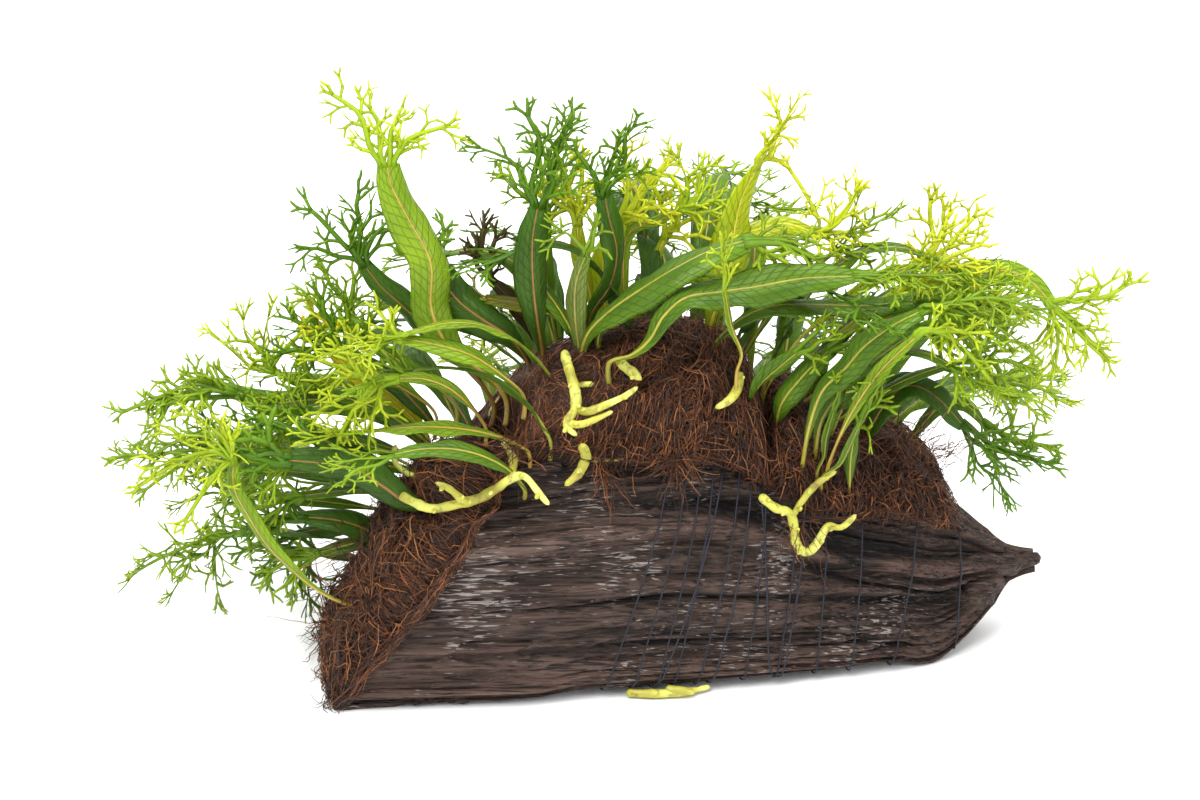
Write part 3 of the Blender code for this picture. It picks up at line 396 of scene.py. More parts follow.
# Leaves and young crests too fine for the CAD model, in the same form.
MORE_LEAVES = {
    "fern_dead_tip": (
        5, 0.45, "front", ((-28, 92, 18), (-32, 103, 16), (-37, 111, 14), (-41, 115, 14)),
        ((-43, 131, 14), (-40, 128, 16), (-46, 123, 13)),
    ),
    "fern_narrow_upright": (
        3.5, 0.4, "front", ((59, 52, -8), (59, 61, -12), (60, 70, -12)), ((61, 80, -12), (63, 79, -12)),
    ),
    "fern_under_left": (
        5, 0.4, "up", ((-76, 28, 12), (-84, 31, 14), (-92, 32, 15)),
        ((-107, 27, 15), (-98, 22, 14), (-95, 17, 15), (-104, 34, 16)),
    ),
    "fern_thin_crest_up": (
        3.5, 0.5, "front", ((34, 80, 16), (42, 96, 19), (52, 106, 20), (64, 116, 20), (74, 120, 20)),
        ((78, 139, 20), (90, 134, 20), (82, 133, 22)),
    ),
    "fern_front_c": (4, 0.4, "right", ((50, 58, -12), (51.5, 62, -14), (52, 68, -15), (54, 77, -15)),
        ((57, 86, -15), (55, 84, -16))),
    "fern_low_left": (6, 0.3, "up", ((-62, 50, 8), (-75, 52, 10), (-85, 53, 12)),
        ((-98, 55, 12), (-95, 49, 13))),
    "fern_young_left_a": (4, 0.4, "front", ((-58, 76, 10), (-68, 84, 6), (-78, 88, 4)),
        ((-90, 92, 3), (-86, 84, 2), (-80, 97, 4))),
    "fern_young_left_b": (4, 0.4, "up", ((-60, 60, 8), (-78, 66, 2), (-92, 72, 0)),
        ((-108, 78, 0), (-104, 70, -2), (-98, 82, 2))),
    "fern_young_left_c": (4, 0.4, "up", ((-64, 52, 4), (-84, 56, 0), (-104, 58, -2)),
        ((-122, 60, -4), (-116, 52, -3), (-118, 67, -2))),
    "fern_young_left_d": (4, 0.4, "up", ((-66, 44, 14), (-88, 48, 18), (-108, 50, 20)),
        ((-130, 48, 22), (-124, 40, 22), (-126, 56, 20))),
    "fern_young_right_a": (4, 0.4, "up", ((40, 74, 8), (62, 92, 4), (84, 104, 2)),
        ((104, 112, 0), (100, 104, -2), (96, 116, 2))),
    "fern_young_right_b": (4.5, 0.4, "up", ((36, 76, 10), (54, 98, 6), (72, 114, 4)),
        ((92, 126, 2), (88, 120, 0), (82, 130, 4))),
    "fern_young_right_c": (4, 0.4, "up", ((46, 66, 4), (70, 84, -2), (90, 92, -4)),
        ((106, 90, -6), (104, 82, -5), (100, 98, -4))),
    "fern_fill_a": (6, 0.3, "up", ((-58, 58, 4), (-74, 66, 6), (-92, 70, 6), (-104, 68, 6)),
        ((-120, 72, 6), (-118, 62, 6), (-112, 80, 4))),
    "fern_fill_b": (5, 0.3, "up", ((-60, 50, 2), (-78, 52, -2), (-96, 50, -4)),
        ((-112, 46, -6), (-114, 54, -5), (-106, 40, -5))),
    "fern_fill_c": (6, 0.3, "up", ((-62, 44, 8), (-80, 42, 10), (-98, 38, 12)),
        ((-114, 32, 12), (-116, 40, 12), (-106, 28, 12))),
    "fern_fill_d": (5, 0.3, "front", ((-58, 64, 8), (-72, 76, 8), (-88, 82, 8)),
        ((-102, 88, 8), (-104, 80, 8), (-94, 94, 8))),
    "fern_fill_e": (5, 0.3, "front", ((-60, 56, -4), (-76, 60, -8), (-94, 60, -10)),
        ((-112, 62, -12), (-110, 52, -12), (-106, 70, -10))),
    "fern_fill_f": (6, 0.3, "up", ((-60, 48, 16), (-80, 54, 20), (-100, 58, 22)),
        ((-120, 58, 24), (-122, 66, 24), (-116, 50, 24))),
    "fern_fill_g": (5, 0.3, "up", ((-62, 40, 2), (-78, 36, 0), (-92, 32, 0)),
        ((-106, 26, 0), (-108, 34, 0), (-100, 20, 0))),
    "fern_fill_h": (6, 0.3, "front", ((-56, 68, 12), (-68, 84, 12), (-82, 94, 12)),
        ((-96, 104, 12), (-100, 94, 12), (-88, 110, 12))),
    "fern_young_centre_a": (4, 0.4, "front", ((-6, 88, 22), (0, 112, 22), (6, 128, 22)),
        ((2, 144, 22), (12, 142, 24), (14, 134, 21))),
    "fern_young_centre_b": (4, 0.4, "front", ((-22, 88, 20), (-26, 112, 20), (-26, 130, 20)),
        ((-38, 146, 20), (-28, 152, 22), (-18, 148, 20))),
    "fern_young_centre_c": (4, 0.4, "up", ((24, 84, 16), (38, 110, 14), (52, 124, 12)),
        ((66, 134, 10), (62, 126, 8), (58, 138, 12))),
}

# Which tone a leaf has. The others are mid green.
TONE_OF = {
    "fern_bright_upright": "lime", "fern_lime_arch": "lime", "fern_yellow_stub": "yellow",
    "fern_tall_left": "bright",
    "fern_low_bright": "bright", "fern_left_loop": "bright", "fern_fine_spray_right": "bright",
    "fern_far_arch": "bright", "fern_olive_back": "lime", "fern_light_crest_centre": "lime",
    "fern_grey_back": "grey", "fern_dark_centre_left": "dark", "fern_dark_centre": "dark",
    "fern_left_crested": "dark", "fern_left_pair_low": "dark", "fern_left_pair_top": "dark",
    "fern_left_low_blade": "dark", "fern_droop_right": "dark", "fern_low_olive": "olive",
    "fern_dead_tip": "dead",
    "fern_left_crest_b": "mid", "fern_left_crest_c": "bright", "fern_weeping_crest": "bright",
    "fern_thin_crest_up": "lime", "fern_young_left_a": "bright", "fern_young_left_b": "mid",
    "fern_young_right_a": "bright", "fern_young_right_b": "lime", "fern_young_centre_a": "lime",
    "fern_fill_a": "dark", "fern_fill_c": "dark", "fern_fill_f": "dark", "fern_fill_h": "dark",
    "fern_under_left": "dark", "fern_strap_right": "bright", "fern_upright_thin": "bright",
    "fern_left_wing": "dark",
}


def tone(low, high, rib, crest, tip, glow):
    return {"low": np.array(low), "high": np.array(high), "rib": np.array(rib),
            "crest": (np.array(crest), np.array(tip)), "glow": glow}


TONES = {
    "dark": tone((0.024, 0.069, 0.005), (0.068, 0.161, 0.009), (0.240, 0.127, 0.019),
        (0.060, 0.161, 0.007), (0.180, 0.345, 0.012), "mid"),
    "mid": tone((0.053, 0.138, 0.007), (0.165, 0.299, 0.014), (0.330, 0.299, 0.031),
        (0.150, 0.299, 0.010), (0.375, 0.529, 0.019), "mid"),
    "bright": tone((0.135, 0.265, 0.011), (0.330, 0.483, 0.019), (0.450, 0.299, 0.050),
        (0.300, 0.483, 0.014), (0.630, 0.713, 0.028), "bright"),
    "lime": tone((0.330, 0.460, 0.014), (0.630, 0.690, 0.025), (0.675, 0.575, 0.062),
        (0.510, 0.621, 0.019), (0.780, 0.782, 0.037), "lime"),
    "yellow": tone((0.675, 0.598, 0.019), (0.800, 0.736, 0.031), (0.800, 0.632, 0.062),
        (0.750, 0.644, 0.025), (0.800, 0.736, 0.037), "lime"),
    "grey": tone((0.150, 0.218, 0.037), (0.300, 0.356, 0.074), (0.330, 0.299, 0.062),
        (0.180, 0.299, 0.025), (0.330, 0.483, 0.025), "mid"),
    "olive": tone((0.150, 0.149, 0.007), (0.300, 0.276, 0.015), (0.330, 0.184, 0.025),
        (0.210, 0.230, 0.012), (0.390, 0.391, 0.019), "mid"),
    "dead": tone((0.06, 0.045, 0.012), (0.13, 0.09, 0.025), (0.12, 0.07, 0.02), (0.06, 0.05, 0.012),
        (0.11, 0.09, 0.02), "brown"),
}
GLOWS = {
    "mid": (0.26, 0.46, 0.008, 1.0),
    "bright": (0.50, 0.70, 0.01, 1.0),
    "lime": (0.76, 0.84, 0.015, 1.0),
    "brown": (0.20, 0.12, 0.03, 1.0),
}

# Colours of the wood from its deepest hollows to its crests: read by the relief, they paint shade into the hollows
# and light onto the crests.
WOOD_STOPS = [(0.0, (0.003, 0.0015, 0.001)), (0.35, (0.036, 0.019, 0.013)), (0.65, (0.090, 0.051, 0.038)),
    (1.0, (0.22, 0.15, 0.12))]
ROOT_STOPS = [(0.0, (0.014, 0.005, 0.002)), (0.40, (0.070, 0.021, 0.007)), (0.75, (0.175, 0.055, 0.015)),
    (1.0, (0.40, 0.155, 0.045))]
RHIZOME_STOPS = [(0.0, (0.28, 0.24, 0.03)), (0.5, (0.52, 0.50, 0.06)), (1.0, (0.68, 0.70, 0.16))]

# Where a splinter of the right end starts and stops (station, place round, lift), its half width and
# thickness.
SPLINTERS = (
    ((90, 3.0, -6), (118, 4.0, -0.6), 4.6, 2.2, 3),
    ((88, 1.4, -6), (106, 2.0, 0.2), 6.0, 3.6, 7),
)

# The turns of thread: stations where it passes, in turn, under the log and over its ridge, and turns across
# those.
THREAD_PASSES = (-15, -11, -7, -3, 0, 3, 5, 8, 11, 20, 25, 30, 34, 42, 46, 51, 56, 63, 68, 80, 89, 92)
UNDER, RIDGE = -1, 6
CROSSINGS = ((12, -3), (24, 14), (26, 36), (44, 34))
THREAD_RADIUS = 0.24

# Young stems on the ground by the log: along it, out from its middle and up.
UNDER_STEMS = (
    ((-8, -26.0, 1.2), (-3, -27.6, 1.5), (2, -28.4, 1.5), (7, -28.4, 1.5), (12, -27.6, 1.6),
        (16, -26.0, 1.4)),
    ((3, -27.4, 2.2), (7, -29.0, 2.6), (11, -29.6, 1.6)),
)
CUT_STALKS = (
    (0.85, ((-69, 66, -4), (-69.5, 61, -7), (-66, 57, -9), (-60, 55, -9), (-56, 52, -8))),
    (1.15, ((-18.5, 78, -4), (-14, 76.5, -8), (-8, 78.5, -9), (-2, 83.5, -8))),
    (0.8, ((-20, 84, -4), (-15, 84.5, -7), (-10, 84, -7))),
    (0.7, ((-16, 61.5, -9), (-10, 61, -11), (-4, 62, -10))),
    (1.3, ((-58, 55, -8), (-54, 52, -10), (-50, 50, -9))),
)

FIBRE_POINTS = 8
# Pieces of fibres: name, mat, how many, the part of the mat from front to back, and the share that stands
# loose.
FIBRE_PIECES = (
    ("root_fibres_middle_front", "roots_middle", 4300, (-0.02, 0.34), 0.07),
    ("root_fibres_middle_ridge", "roots_middle", 3300, (0.26, 0.68), 0.05),
    ("root_fibres_middle_back", "roots_middle", 1900, (0.60, 1.02), 0.05),
    ("root_fibres_right", "roots_right", 4200, (-0.02, 1.02), 0.09),
)
# How far up the front of its mat each felt starts: places along the mat, and the share that is left bare
# there.
MAT_EDGES = {
    "roots_middle": ((0, 0.10, 0.30, 0.60, 0.85, 1), (0.34, 0.33, 0.24, 0.19, 0.20, 0.16)),
    "roots_right": ((0, 0.25, 0.55, 1), (0.09, 0.05, 0.08, 0.14)),
}
END_FIBRES = 3800
HANGING = (("roots_middle", 900), ("roots_right", 420))
# Tufts of stray hairs: x, height and depth on the board, how far they reach, which way, and how many.
STRAYS = (
    (-88, 8, -10, 10, (-0.8, -0.4, -0.1), 26),
    (-87, 20, -8, 9, (-0.9, -0.5, 0.1), 26),
    (-84, 34, -6, 8, (-0.8, -0.6, 0.3), 26),
    (-80, 12, -14, 9, (-0.5, -0.8, 0.1), 18),
    (83, 62, -4, 10, (0.7, -0.3, 0.6), 40),
    (76, 66, 0, 10, (0.3, -0.3, 0.9), 30),
    (-36, 66, -12, 10, (-0.2, -0.9, 0.3), 60),
    (10, 62, -14, 11, (0.1, -0.9, -0.5), 60),
    (-10, 60, -14, 11, (0.0, -0.9, -0.6), 60),
    (45, 40, -16, 9, (0.1, -0.9, -0.4), 50),
    (20, 92, 0, 9, (0.1, -0.6, 0.8), 40),
)

# Leaves of the back and the thick middle: station, place round, lift, azimuth, climb, length, width, tone.
ARCHING = (
    (-70, 6.4, 14, 205, 26, 52, 9, "mid"),
    (-58, 7.0, 14, 190, 34, 56, 9, "dark"),
    (-44, 6.6, 14, 170, 40, 54, 8, "mid"),
    (-30, 7.2, 14, 185, 30, 56, 9, "bright"),
    (-14, 6.6, 16, 196, 42, 50, 8, "dark"),
    (0, 7.2, 14, 176, 30, 54, 9, "mid"),
    (12, 6.4, 14, 160, 40, 50, 8, "mid"),
    (22, 7.2, 12, 180, 26, 52, 8, "bright"),
    (42, 6.8, 8, 165, 30, 52, 8, "mid"),
    (56, 7.4, 6, 176, 22, 48, 7, "dark"),
    (66, 6.4, 6, 140, 28, 50, 7, "mid"),
    (78, 6.6, 5, 120, 20, 44, 6, "mid"),
    (-80, 6.0, 12, 235, 24, 50, 8, "mid"),
    (-84, 7.4, 8, 220, 16, 50, 8, "dark"),
    (-84, 5.0, 12, 262, 20, 46, 7, "mid"),
    (38, 5.4, 8, 110, 34, 52, 8, "dark"),
    (46, 5.8, 8, 96, 40, 56, 7, "mid"),
    (30, 5.8, 10, 84, 46, 58, 7, "mid"),
    (14, 5.8, 16, 60, 30, 40, 8, "dark"),
    (-34, 5.8, 14, 262, 38, 42, 8, "dark"),
    (-24, 6.0, 14, 200, 46, 30, 7, "dark"),
    (-4, 6.0, 16, 150, 38, 34, 7, "mid"),
    (-86, 4.2, 10, 285, 14, 44, 7, "mid"),
    (-84, 5.6, 16, 275, 26, 52, 6, "bright"),
    (-80, 6.4, 14, 250, 20, 58, 7, "mid"),
    (-88, 5.0, 8, 265, 8, 52, 6, "bright"),
    (-70, 5.8, 18, 255, 34, 50, 7, "mid"),
    (-10, 6.8, 18, 186, 34, 58, 8, "dark"),
    (6, 6.6, 18, 172, 40, 56, 8, "mid"),
    (18, 6.9, 16, 190, 32, 58, 8, "dark"),
    (30, 6.6, 12, 178, 36, 54, 7, "bright"),
    (-36, 6.9, 18, 176, 38, 58, 8, "dark"),
    (-50, 8.0, 10, 186, 14, 46, 8, "mid"),
    (-66, 7.8, 10, 200, 16, 44, 7, "bright"),
    (-20, 8.0, 10, 176, 14, 44, 8, "mid"),
    (8, 7.8, 10, 184, 14, 46, 7, "dark"),
    (36, 7.6, 6, 176, 14, 44, 7, "mid"),
    (62, 7.8, 5, 168, 12, 42, 6, "bright"),
    (60, 5.4, 10, 70, 26, 44, 7, "mid"),
    (70, 6.0, 8, 92, 18, 44, 7, "bright"),
    (52, 5.0, 10, 60, 34, 44, 6, "mid"),
)

# ---------------------------------------------------------------- curves and noise
def pin(points):
    """Points (x, height, depth) drawn on an upright board at y = 0, each moved to its depth towards the eye."""
    points = np.asarray(points, float)
    on_board = points * (1, 0, 0) + points[..., 1:2] * (0, 0, 1)
    reach = (points[..., 2:3] - EYE[1]) / -EYE[1]
    return EYE + (on_board - EYE) * reach


def smooth_rows(rows, where, closed=False):
    """Catmull-Rom curve through rows, read at the positions in where, counted in rows."""
    rows = np.asarray(rows, float)
    count = len(rows)
    where = np.asarray(where, float)
    first = np.floor(where).astype(int)
    if not closed:
        first = np.clip(first, 0, count - 2)
    t = (where - first)[:, None]
    if closed:
        a, b, c, d = (rows[(first + k) % count] for k in (-1, 0, 1, 2))
    else:
        a, b, c, d = (rows[np.clip(first + k, 0, count - 1)] for k in (-1, 0, 1, 2))
    return 0.5 * (2 * b + (c - a) * t + (2 * a - 5 * b + 4 * c - d) * t**2 + (3 * b - a - 3 * c + d) * t**3)


def even_path(points, shares):
    """Places on the smooth curve through points, at shares of its length, and its length."""
    fine = smooth_rows(points, np.linspace(0, len(points) - 1, 24 * len(points)))
    run = np.concatenate([[0], np.cumsum(np.linalg.norm(np.diff(fine, axis=0), axis=1))])
    wanted = np.asarray(shares) * run[-1]
    return np.stack([np.interp(wanted, run, fine[:, axis]) for axis in range(3)], axis=1), run[-1]


def unit(vectors):
    return vectors / np.maximum(np.linalg.norm(vectors, axis=-1, keepdims=True), 1e-9)


def along_last(ways, vectors):
    return (ways * vectors).sum(axis=-1, keepdims=True)


def noise(x, y, seed):
    """Smooth noise from 0 to 1: random heights at whole steps of x and y, joined by smooth slopes."""
    heights = np.random.default_rng(seed).random((128, 128))
    x, y = np.broadcast_arrays(x, y)
    i, j = np.floor(x).astype(int), np.floor(y).astype(int)
    s, t = x - i, y - j
    s, t = s * s * (3 - 2 * s), t * t * (3 - 2 * t)
    i, j, k, m = i % 128, j % 128, (i + 1) % 128, (j + 1) % 128
    near = heights[i, j] * (1 - s) + heights[k, j] * s
    far = heights[i, m] * (1 - s) + heights[k, m] * s
    return near * (1 - t) + far * t


def ease(low, high, x):
    """0 below low, 1 above high, and smooth between them."""
    t = np.clip((x - low) / (high - low), 0, 1)
    return t * t * (3 - 2 * t)


def shaded(stops, share):
    """Colours read from a row of (place, colour) stops."""
    places = [place for place, _ in stops]
    return np.stack([np.interp(share, places, [colour[k] for _, colour in stops]) for k in range(3)], axis=-1)


# ---------------------------------------------------------------- surfaces
def grid_quads(rows, columns, closed=False):
    """The quads of a grid of points, with the last column joined to the first where closed."""
    i = np.arange(rows - 1)[:, None]
    j = np.arange(columns if closed else columns - 1)[None, :]
    k = (j + 1) % columns
    corners = np.broadcast_arrays(i * columns + j, i * columns + k, (i + 1) * columns + k,
        (i + 1) * columns + j)
    return np.stack(corners, axis=-1).reshape(-1, 4)


def rings(paths, across, wide, thick, sides):
    """Closed rings of points carried along each of many paths: point k of a ring stands at angle a = -k
    turns/sides, at middle + wide cos(a) across + thick sin(a) outward. Shape: paths, rows, sides, 3."""
    forward = unit(np.gradient(paths, axis=1))
    across = unit(across - forward * along_last(across, forward))
    outward = np.cross(across, forward)
    angles = -np.arange(sides) * 2 * math.pi / sides
    sideways = across[:, :, None] * (wide[..., None] * np.cos(angles))[..., None]
    return paths[:, :, None] + sideways + outward[:, :, None] * (thick[..., None] * np.sin(angles))[..., None]


class Skin:
    """Points and faces gathered from several surfaces. Each point has its colour and its place on the surface."""

    def __init__(self):
        self.points, self.faces, self.tints, self.places, self.kinds = [], [], [], [], []
        self.count = 0

    def add(self, points, faces, tint, place=(0.0, 0.0), kind=0):
        """faces is a list of arrays of corners, one array for each number of corners."""
        points = points.reshape(-1, 3)
        self.points.append(points)
        for group in faces:
            self.faces.append(group + self.count)
            self.kinds.append(np.full(len(group), kind))
        self.tints.append(np.broadcast_to(tint, (len(points), 3)))
        self.places.append(np.broadcast_to(place, (len(points), 2)))
        self.count += len(points)

    def add_rings(self, points, tint, place=(0.0, 0.0), kind=0):
        """Tubes from rings(), their ends closed."""
        tubes, rows, sides = points.shape[:3]
        starts = (np.arange(tubes) * rows * sides)[:, None, None]
        walls = (grid_quads(rows, sides, closed=True)[None] + starts).reshape(-1, 4)
        ends = starts[:, :, 0] + np.concatenate([np.arange(sides)[::-1],
            np.arange(sides) + (rows - 1) * sides])[None]
        ends = ends.reshape(-1, sides)
        tint = np.broadcast_to(tint, (tubes, rows, sides, 3)).reshape(-1, 3)
        place = np.broadcast_to(place, (tubes, rows, sides, 2)).reshape(-1, 2)
        self.add(points, [walls, ends], tint, place, kind)

    def piece(self, name, slot, finishes, nodes=()):
        """The mesh object, in metres in the frame, with the colours as tint and the places as a UV map."""
        points = (np.concatenate(self.points) - ORIGIN) * MM
        corners = np.concatenate([group.ravel() for group in self.faces]).astype(np.int32)
        sizes = np.concatenate([np.full(len(group), group.shape[1]) for group in self.faces])
        starts = np.concatenate([[0], np.cumsum(sizes)[:-1]]).astype(np.int32)
        mesh = bpy.data.meshes.new(name)
        mesh.vertices.add(len(points))
        mesh.vertices.foreach_set("co", points.astype(np.float32).ravel())
        mesh.loops.add(len(corners))
        mesh.loops.foreach_set("vertex_index", corners)
        mesh.polygons.add(len(sizes))
        mesh.polygons.foreach_set("loop_start", starts)
        mesh.polygons.foreach_set("material_index", np.concatenate(self.kinds).astype(np.int32))
        mesh.polygons.foreach_set("use_smooth", np.ones(len(sizes), bool))
        mesh.update(calc_edges=True)
        tint = mesh.attributes.new("tint", "FLOAT_COLOR", "POINT")
        colours = np.ones((len(points), 4), np.float32)
        colours[:, :3] = np.concatenate(self.tints)
        tint.data.foreach_set("color", colours.ravel())
        uv = mesh.uv_layers.new(name="surface")
        uv.data.foreach_set("uv", np.concatenate(self.places)[corners].astype(np.float32).ravel())
        for finish in finishes:
            mesh.materials.append(finish)
        made = bpy.data.objects.new(name, mesh)
        bpy.context.scene.collection.objects.link(made)
        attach(made, "root")
        if nodes:
            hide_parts(*nodes)
        return made


# ---------------------------------------------------------------- finishes
class Wire:
    """A value in a finish's node tree. Arithmetic on it adds Math nodes."""

    def __init__(self, tree, socket):
        self.tree, self.socket = tree, socket

    def node(self, kind, settings=None, inputs=None, output=0):
        """Adds a node of any type: first its settings, then its inputs by name or number."""
        made = self.tree.nodes.new("ShaderNode" + kind)
        for key, value in (settings or {}).items():
            if key == "stops":
                ramp = made.color_ramp
                while len(ramp.elements) < len(value):
                    ramp.elements.new(0.5)
                for element, (place, colour) in zip(ramp.elements, value):
                    element.position = place
                    element.color = (*colour, 1.0)
            else:
                setattr(made, key, value)
        for key, value in (inputs or {}).items():
            if isinstance(value, Wire):
                self.tree.links.new(value.socket, made.inputs[key])
            else:
                made.inputs[key].default_value = value
        return Wire(self.tree, made.outputs[output])

    def math(self, operation, *values):
        return self.node("Math", {"operation": operation}, dict(enumerate([self, *values])))

    def __add__(self, other):
        return self.math("ADD", other)

    __radd__ = __add__

    def __mul__(self, other):
        return self.math("MULTIPLY", other)

    __rmul__ = __mul__

    def __sub__(self, other):
        return self.math("SUBTRACT", other)

    def __rsub__(self, other):
        return (self * -1.0) + other

    def between(self, low, high):
        """0 below low, 1 above high, smooth between."""
        settings = {"interpolation_type": "SMOOTHSTEP", "clamp": True}
        return self.node("MapRange", settings, {"Value": self, "From Min": low, "From Max": high})

    def blend(self, other, share):
        """This colour blended with another by a share."""
        return self.node("Mix", {"data_type": "RGBA"}, {0: share, 6: self, 7: other}, output=2)

    def grain(self, scale, detail=3.0, distortion=0.0):
        """Noise read at this position."""
        inputs = {"Vector": self, "Scale": scale, "Detail": detail, "Distortion": distortion}
        return self.node("TexNoise", None, inputs)

    def bump(self, depth):
        """A normal whose relief is this height, depth metres deep."""
        return self.node("Bump", None, {"Height": self, "Distance": depth, "Strength": 1.0})


def finish(name):
    """An empty material, a wire to start others from, and the output's surface socket."""
    made = bpy.data.materials.new(name)
    made.use_nodes = True
    tree = made.node_tree
    tree.nodes.clear()
    output = tree.nodes.new("ShaderNodeOutputMaterial")
    return made, Wire(tree, output.inputs[0])


def surface(base, **inputs):
    """A Principled shader. Its inputs are named with underscores for spaces."""
    return base.node("BsdfPrincipled", None, {key.replace("_", " "): value for key, value in inputs.items()})


def close(base, shader):
    base.tree.links.new(shader.socket, base.socket)


def leaf_finish(name, glow):
    """A wet leaf: its own tint, a net of paler veins that the blade bulges between, gloss, and light coming
    through. Place across the blade is U (0.5 is the midrib) and millimetres along it are 100 V."""
    made, base = finish(name)
    tint = base.node("Attribute", {"attribute_name": "tint"})
    where = base.node("UVMap", {"uv_map": "surface"})
    parts = base.node("SeparateXYZ", None, {0: where})
    across = (parts - 0.5).math("ABSOLUTE") * 2.0
    along = Wire(base.tree, parts.socket.node.outputs[1]) * 100.0
    spot = base.node("TexCoord", output=3)
    wander = spot.grain(180.0, 2.0)
    slant = along * 0.30 - across * 1.9 + wander * 0.5
    rib = (slant.math("FRACT") - 0.5).math("ABSOLUTE") * 2.0
    vein = rib.between(0.80, 0.98)
    cross = ((across * 3.4 + wander * 0.6).math("FRACT") - 0.5).math("ABSOLUTE") * 2.0
    net = cross.between(0.84, 1.0) * 0.5
    veins = vein.math("MAXIMUM", net)
    inside = 1.0 - across.between(0.93, 1.0)
    patch = spot.grain(60.0, 4.0).between(0.3, 0.75)
    colour = tint.blend((0.55, 0.60, 0.20, 1.0), veins * inside * 0.16)
    colour = colour.blend((0.01, 0.03, 0.004, 1.0), patch * 0.22)
    relief = (veins * -0.9 + spot.grain(420.0, 2.0) * 0.35).bump(0.0005)
    rough = 0.26 + patch * 0.16
    lit = surface(base, Base_Color=colour, Roughness=rough, Normal=relief, Specular_IOR_Level=0.28)
    through = base.node("BsdfTranslucent", None, {"Color": glow})
    close(base, base.node("MixShader", None, {0: 0.30, 1: lit, 2: through}))
    return made


def stalk_finish():
    """Midribs and stalks: their own tint with faint lengthwise streaks and dark flecks."""
    made, base = finish("fern_stalk")
    spot = base.node("TexCoord", output=3)
    tint = base.node("Attribute", {"attribute_name": "tint"})
    flecks = spot.grain(900.0, 2.0).between(0.60, 0.75)
    colour = tint.blend((0.10, 0.06, 0.015, 1.0), flecks * 0.35)
    relief = spot.grain(700.0, 3.0).bump(0.0002)
    close(base, surface(base, Base_Color=colour, Roughness=0.38, Normal=relief, Coat_Weight=0.1))
    return made


def wood_finish():
    """Soaked dark wood: its tint, with shade painted into the low relief and light onto the crests, fine grain drawn
    out along the log, thin dark lines, small pale flecks of painted highlight where the wet ridges of the grain
    glint, and wet patches."""
    made, base = finish("soaked_driftwood")
    spot = base.node("TexCoord", output=3)
    turned = base.node("Mapping", None, {"Vector": spot, "Rotation": (0, 0, -LOG_YAW),
        "Scale": (0.03, 1.0, 1.0)})
    short = base.node("Mapping", None, {"Vector": spot, "Rotation": (0, 0, -LOG_YAW),
        "Scale": (0.10, 1.0, 1.0)})
    streaks = turned.grain(1300.0, 6.0, distortion=0.2)
    coarse = turned.grain(320.0, 5.0, distortion=0.3)
    flecks = short.grain(1500.0, 4.0, distortion=0.3)
    patches = spot.grain(38.0, 4.0)
    tint = base.node("Attribute", {"attribute_name": "tint"})
    colour = tint.blend((0.150, 0.100, 0.080, 1.0), (streaks * coarse).between(0.22, 0.40) * 0.45)
    colour = colour.blend((0.004, 0.0025, 0.002, 1.0), 0.85 - streaks.between(0.38, 0.48) * 0.85)
    # Painted highlight: small pale flecks where the wet ridges of the grain glint; the same flecks also lower the
    # roughness.
    light = (flecks * 0.6 + patches * 0.4).between(0.580, 0.625)
    colour = colour.blend((0.46, 0.40, 0.37, 1.0), light * 0.60)
    wet = patches.between(0.42, 0.62)
    rough = 0.60 - wet * 0.26 - light * 0.20
    fine = (streaks * 0.9 + coarse * 0.6 + flecks * 0.5 + turned.grain(3200.0, 3.0) * 0.3).bump(0.0018)
    close(base, surface(base, Base_Color=colour, Roughness=rough, Normal=fine, Specular_IOR_Level=0.32))
    return made


def fibre_finish():
    """Roots: each fibre's own rust or dark brown, with a little gloss."""
    made, base = finish("root_fibres")
    tint = base.node("Attribute", {"attribute_name": "tint"})
    spot = base.node("TexCoord", output=3)
    colour = tint.blend((0.012, 0.005, 0.003, 1.0), spot.grain(500.0, 2.0).between(0.45, 0.75) * 0.5)
    close(base, surface(base, Base_Color=colour, Roughness=0.55))
    return made


def felt_finish():
    """The depth of a mat between the fibres: nearly black brown."""
    made, base = finish("root_felt")
    spot = base.node("TexCoord", output=3)
    strands = spot.grain(700.0, 6.0, distortion=2.0)
    colour = base.node("ValToRGB", {"stops": [(0.35, (0.006, 0.003, 0.002)),
        (0.7, (0.045, 0.016, 0.007))]}, {0: strands})
    close(base, surface(base, Base_Color=colour, Roughness=0.85, Normal=strands.bump(0.0015)))
    return made


def rhizome_finish():
    """Rhizomes: yellow-green, with brown scales and specks."""
    made, base = finish("fern_rhizome")
    spot = base.node("TexCoord", output=3)
    tint = base.node("Attribute", {"attribute_name": "tint"})
    specks = spot.grain(420.0, 4.0).between(0.54, 0.68)
    rings_round = spot.grain(160.0, 4.0).between(0.45, 0.7)
    colour = tint.blend((0.20, 0.22, 0.01, 1.0), rings_round * 0.35)
    colour = colour.blend((0.16, 0.085, 0.015, 1.0), specks * 0.55)
    relief = (spot.grain(420.0, 3.0) + specks * -0.4).bump(0.0006)
    close(base, surface(base, Base_Color=colour, Roughness=0.42, Normal=relief, Subsurface_Weight=0.12,
        Subsurface_Scale=0.002))
    return made


def thread_finish():
    """Dark cotton: two plies twisted together, blue-black."""
    made, base = finish("dark_cotton")
    where = base.node("UVMap", {"uv_map": "surface"})
    parts = base.node("SeparateXYZ", None, {0: where})
    along = Wire(base.tree, parts.socket.node.outputs[1]) * 100.0
    ply = (along * 1.1 + parts * 2.0).math("FRACT")
    colour = base.node("ValToRGB", {"stops": [(0.0, (0.004, 0.004, 0.008)),
        (0.6, (0.022, 0.024, 0.040))]}, {0: ply})
    close(base, surface(base, Base_Color=colour, Roughness=0.75, Normal=ply.bump(0.0002)))
    return made


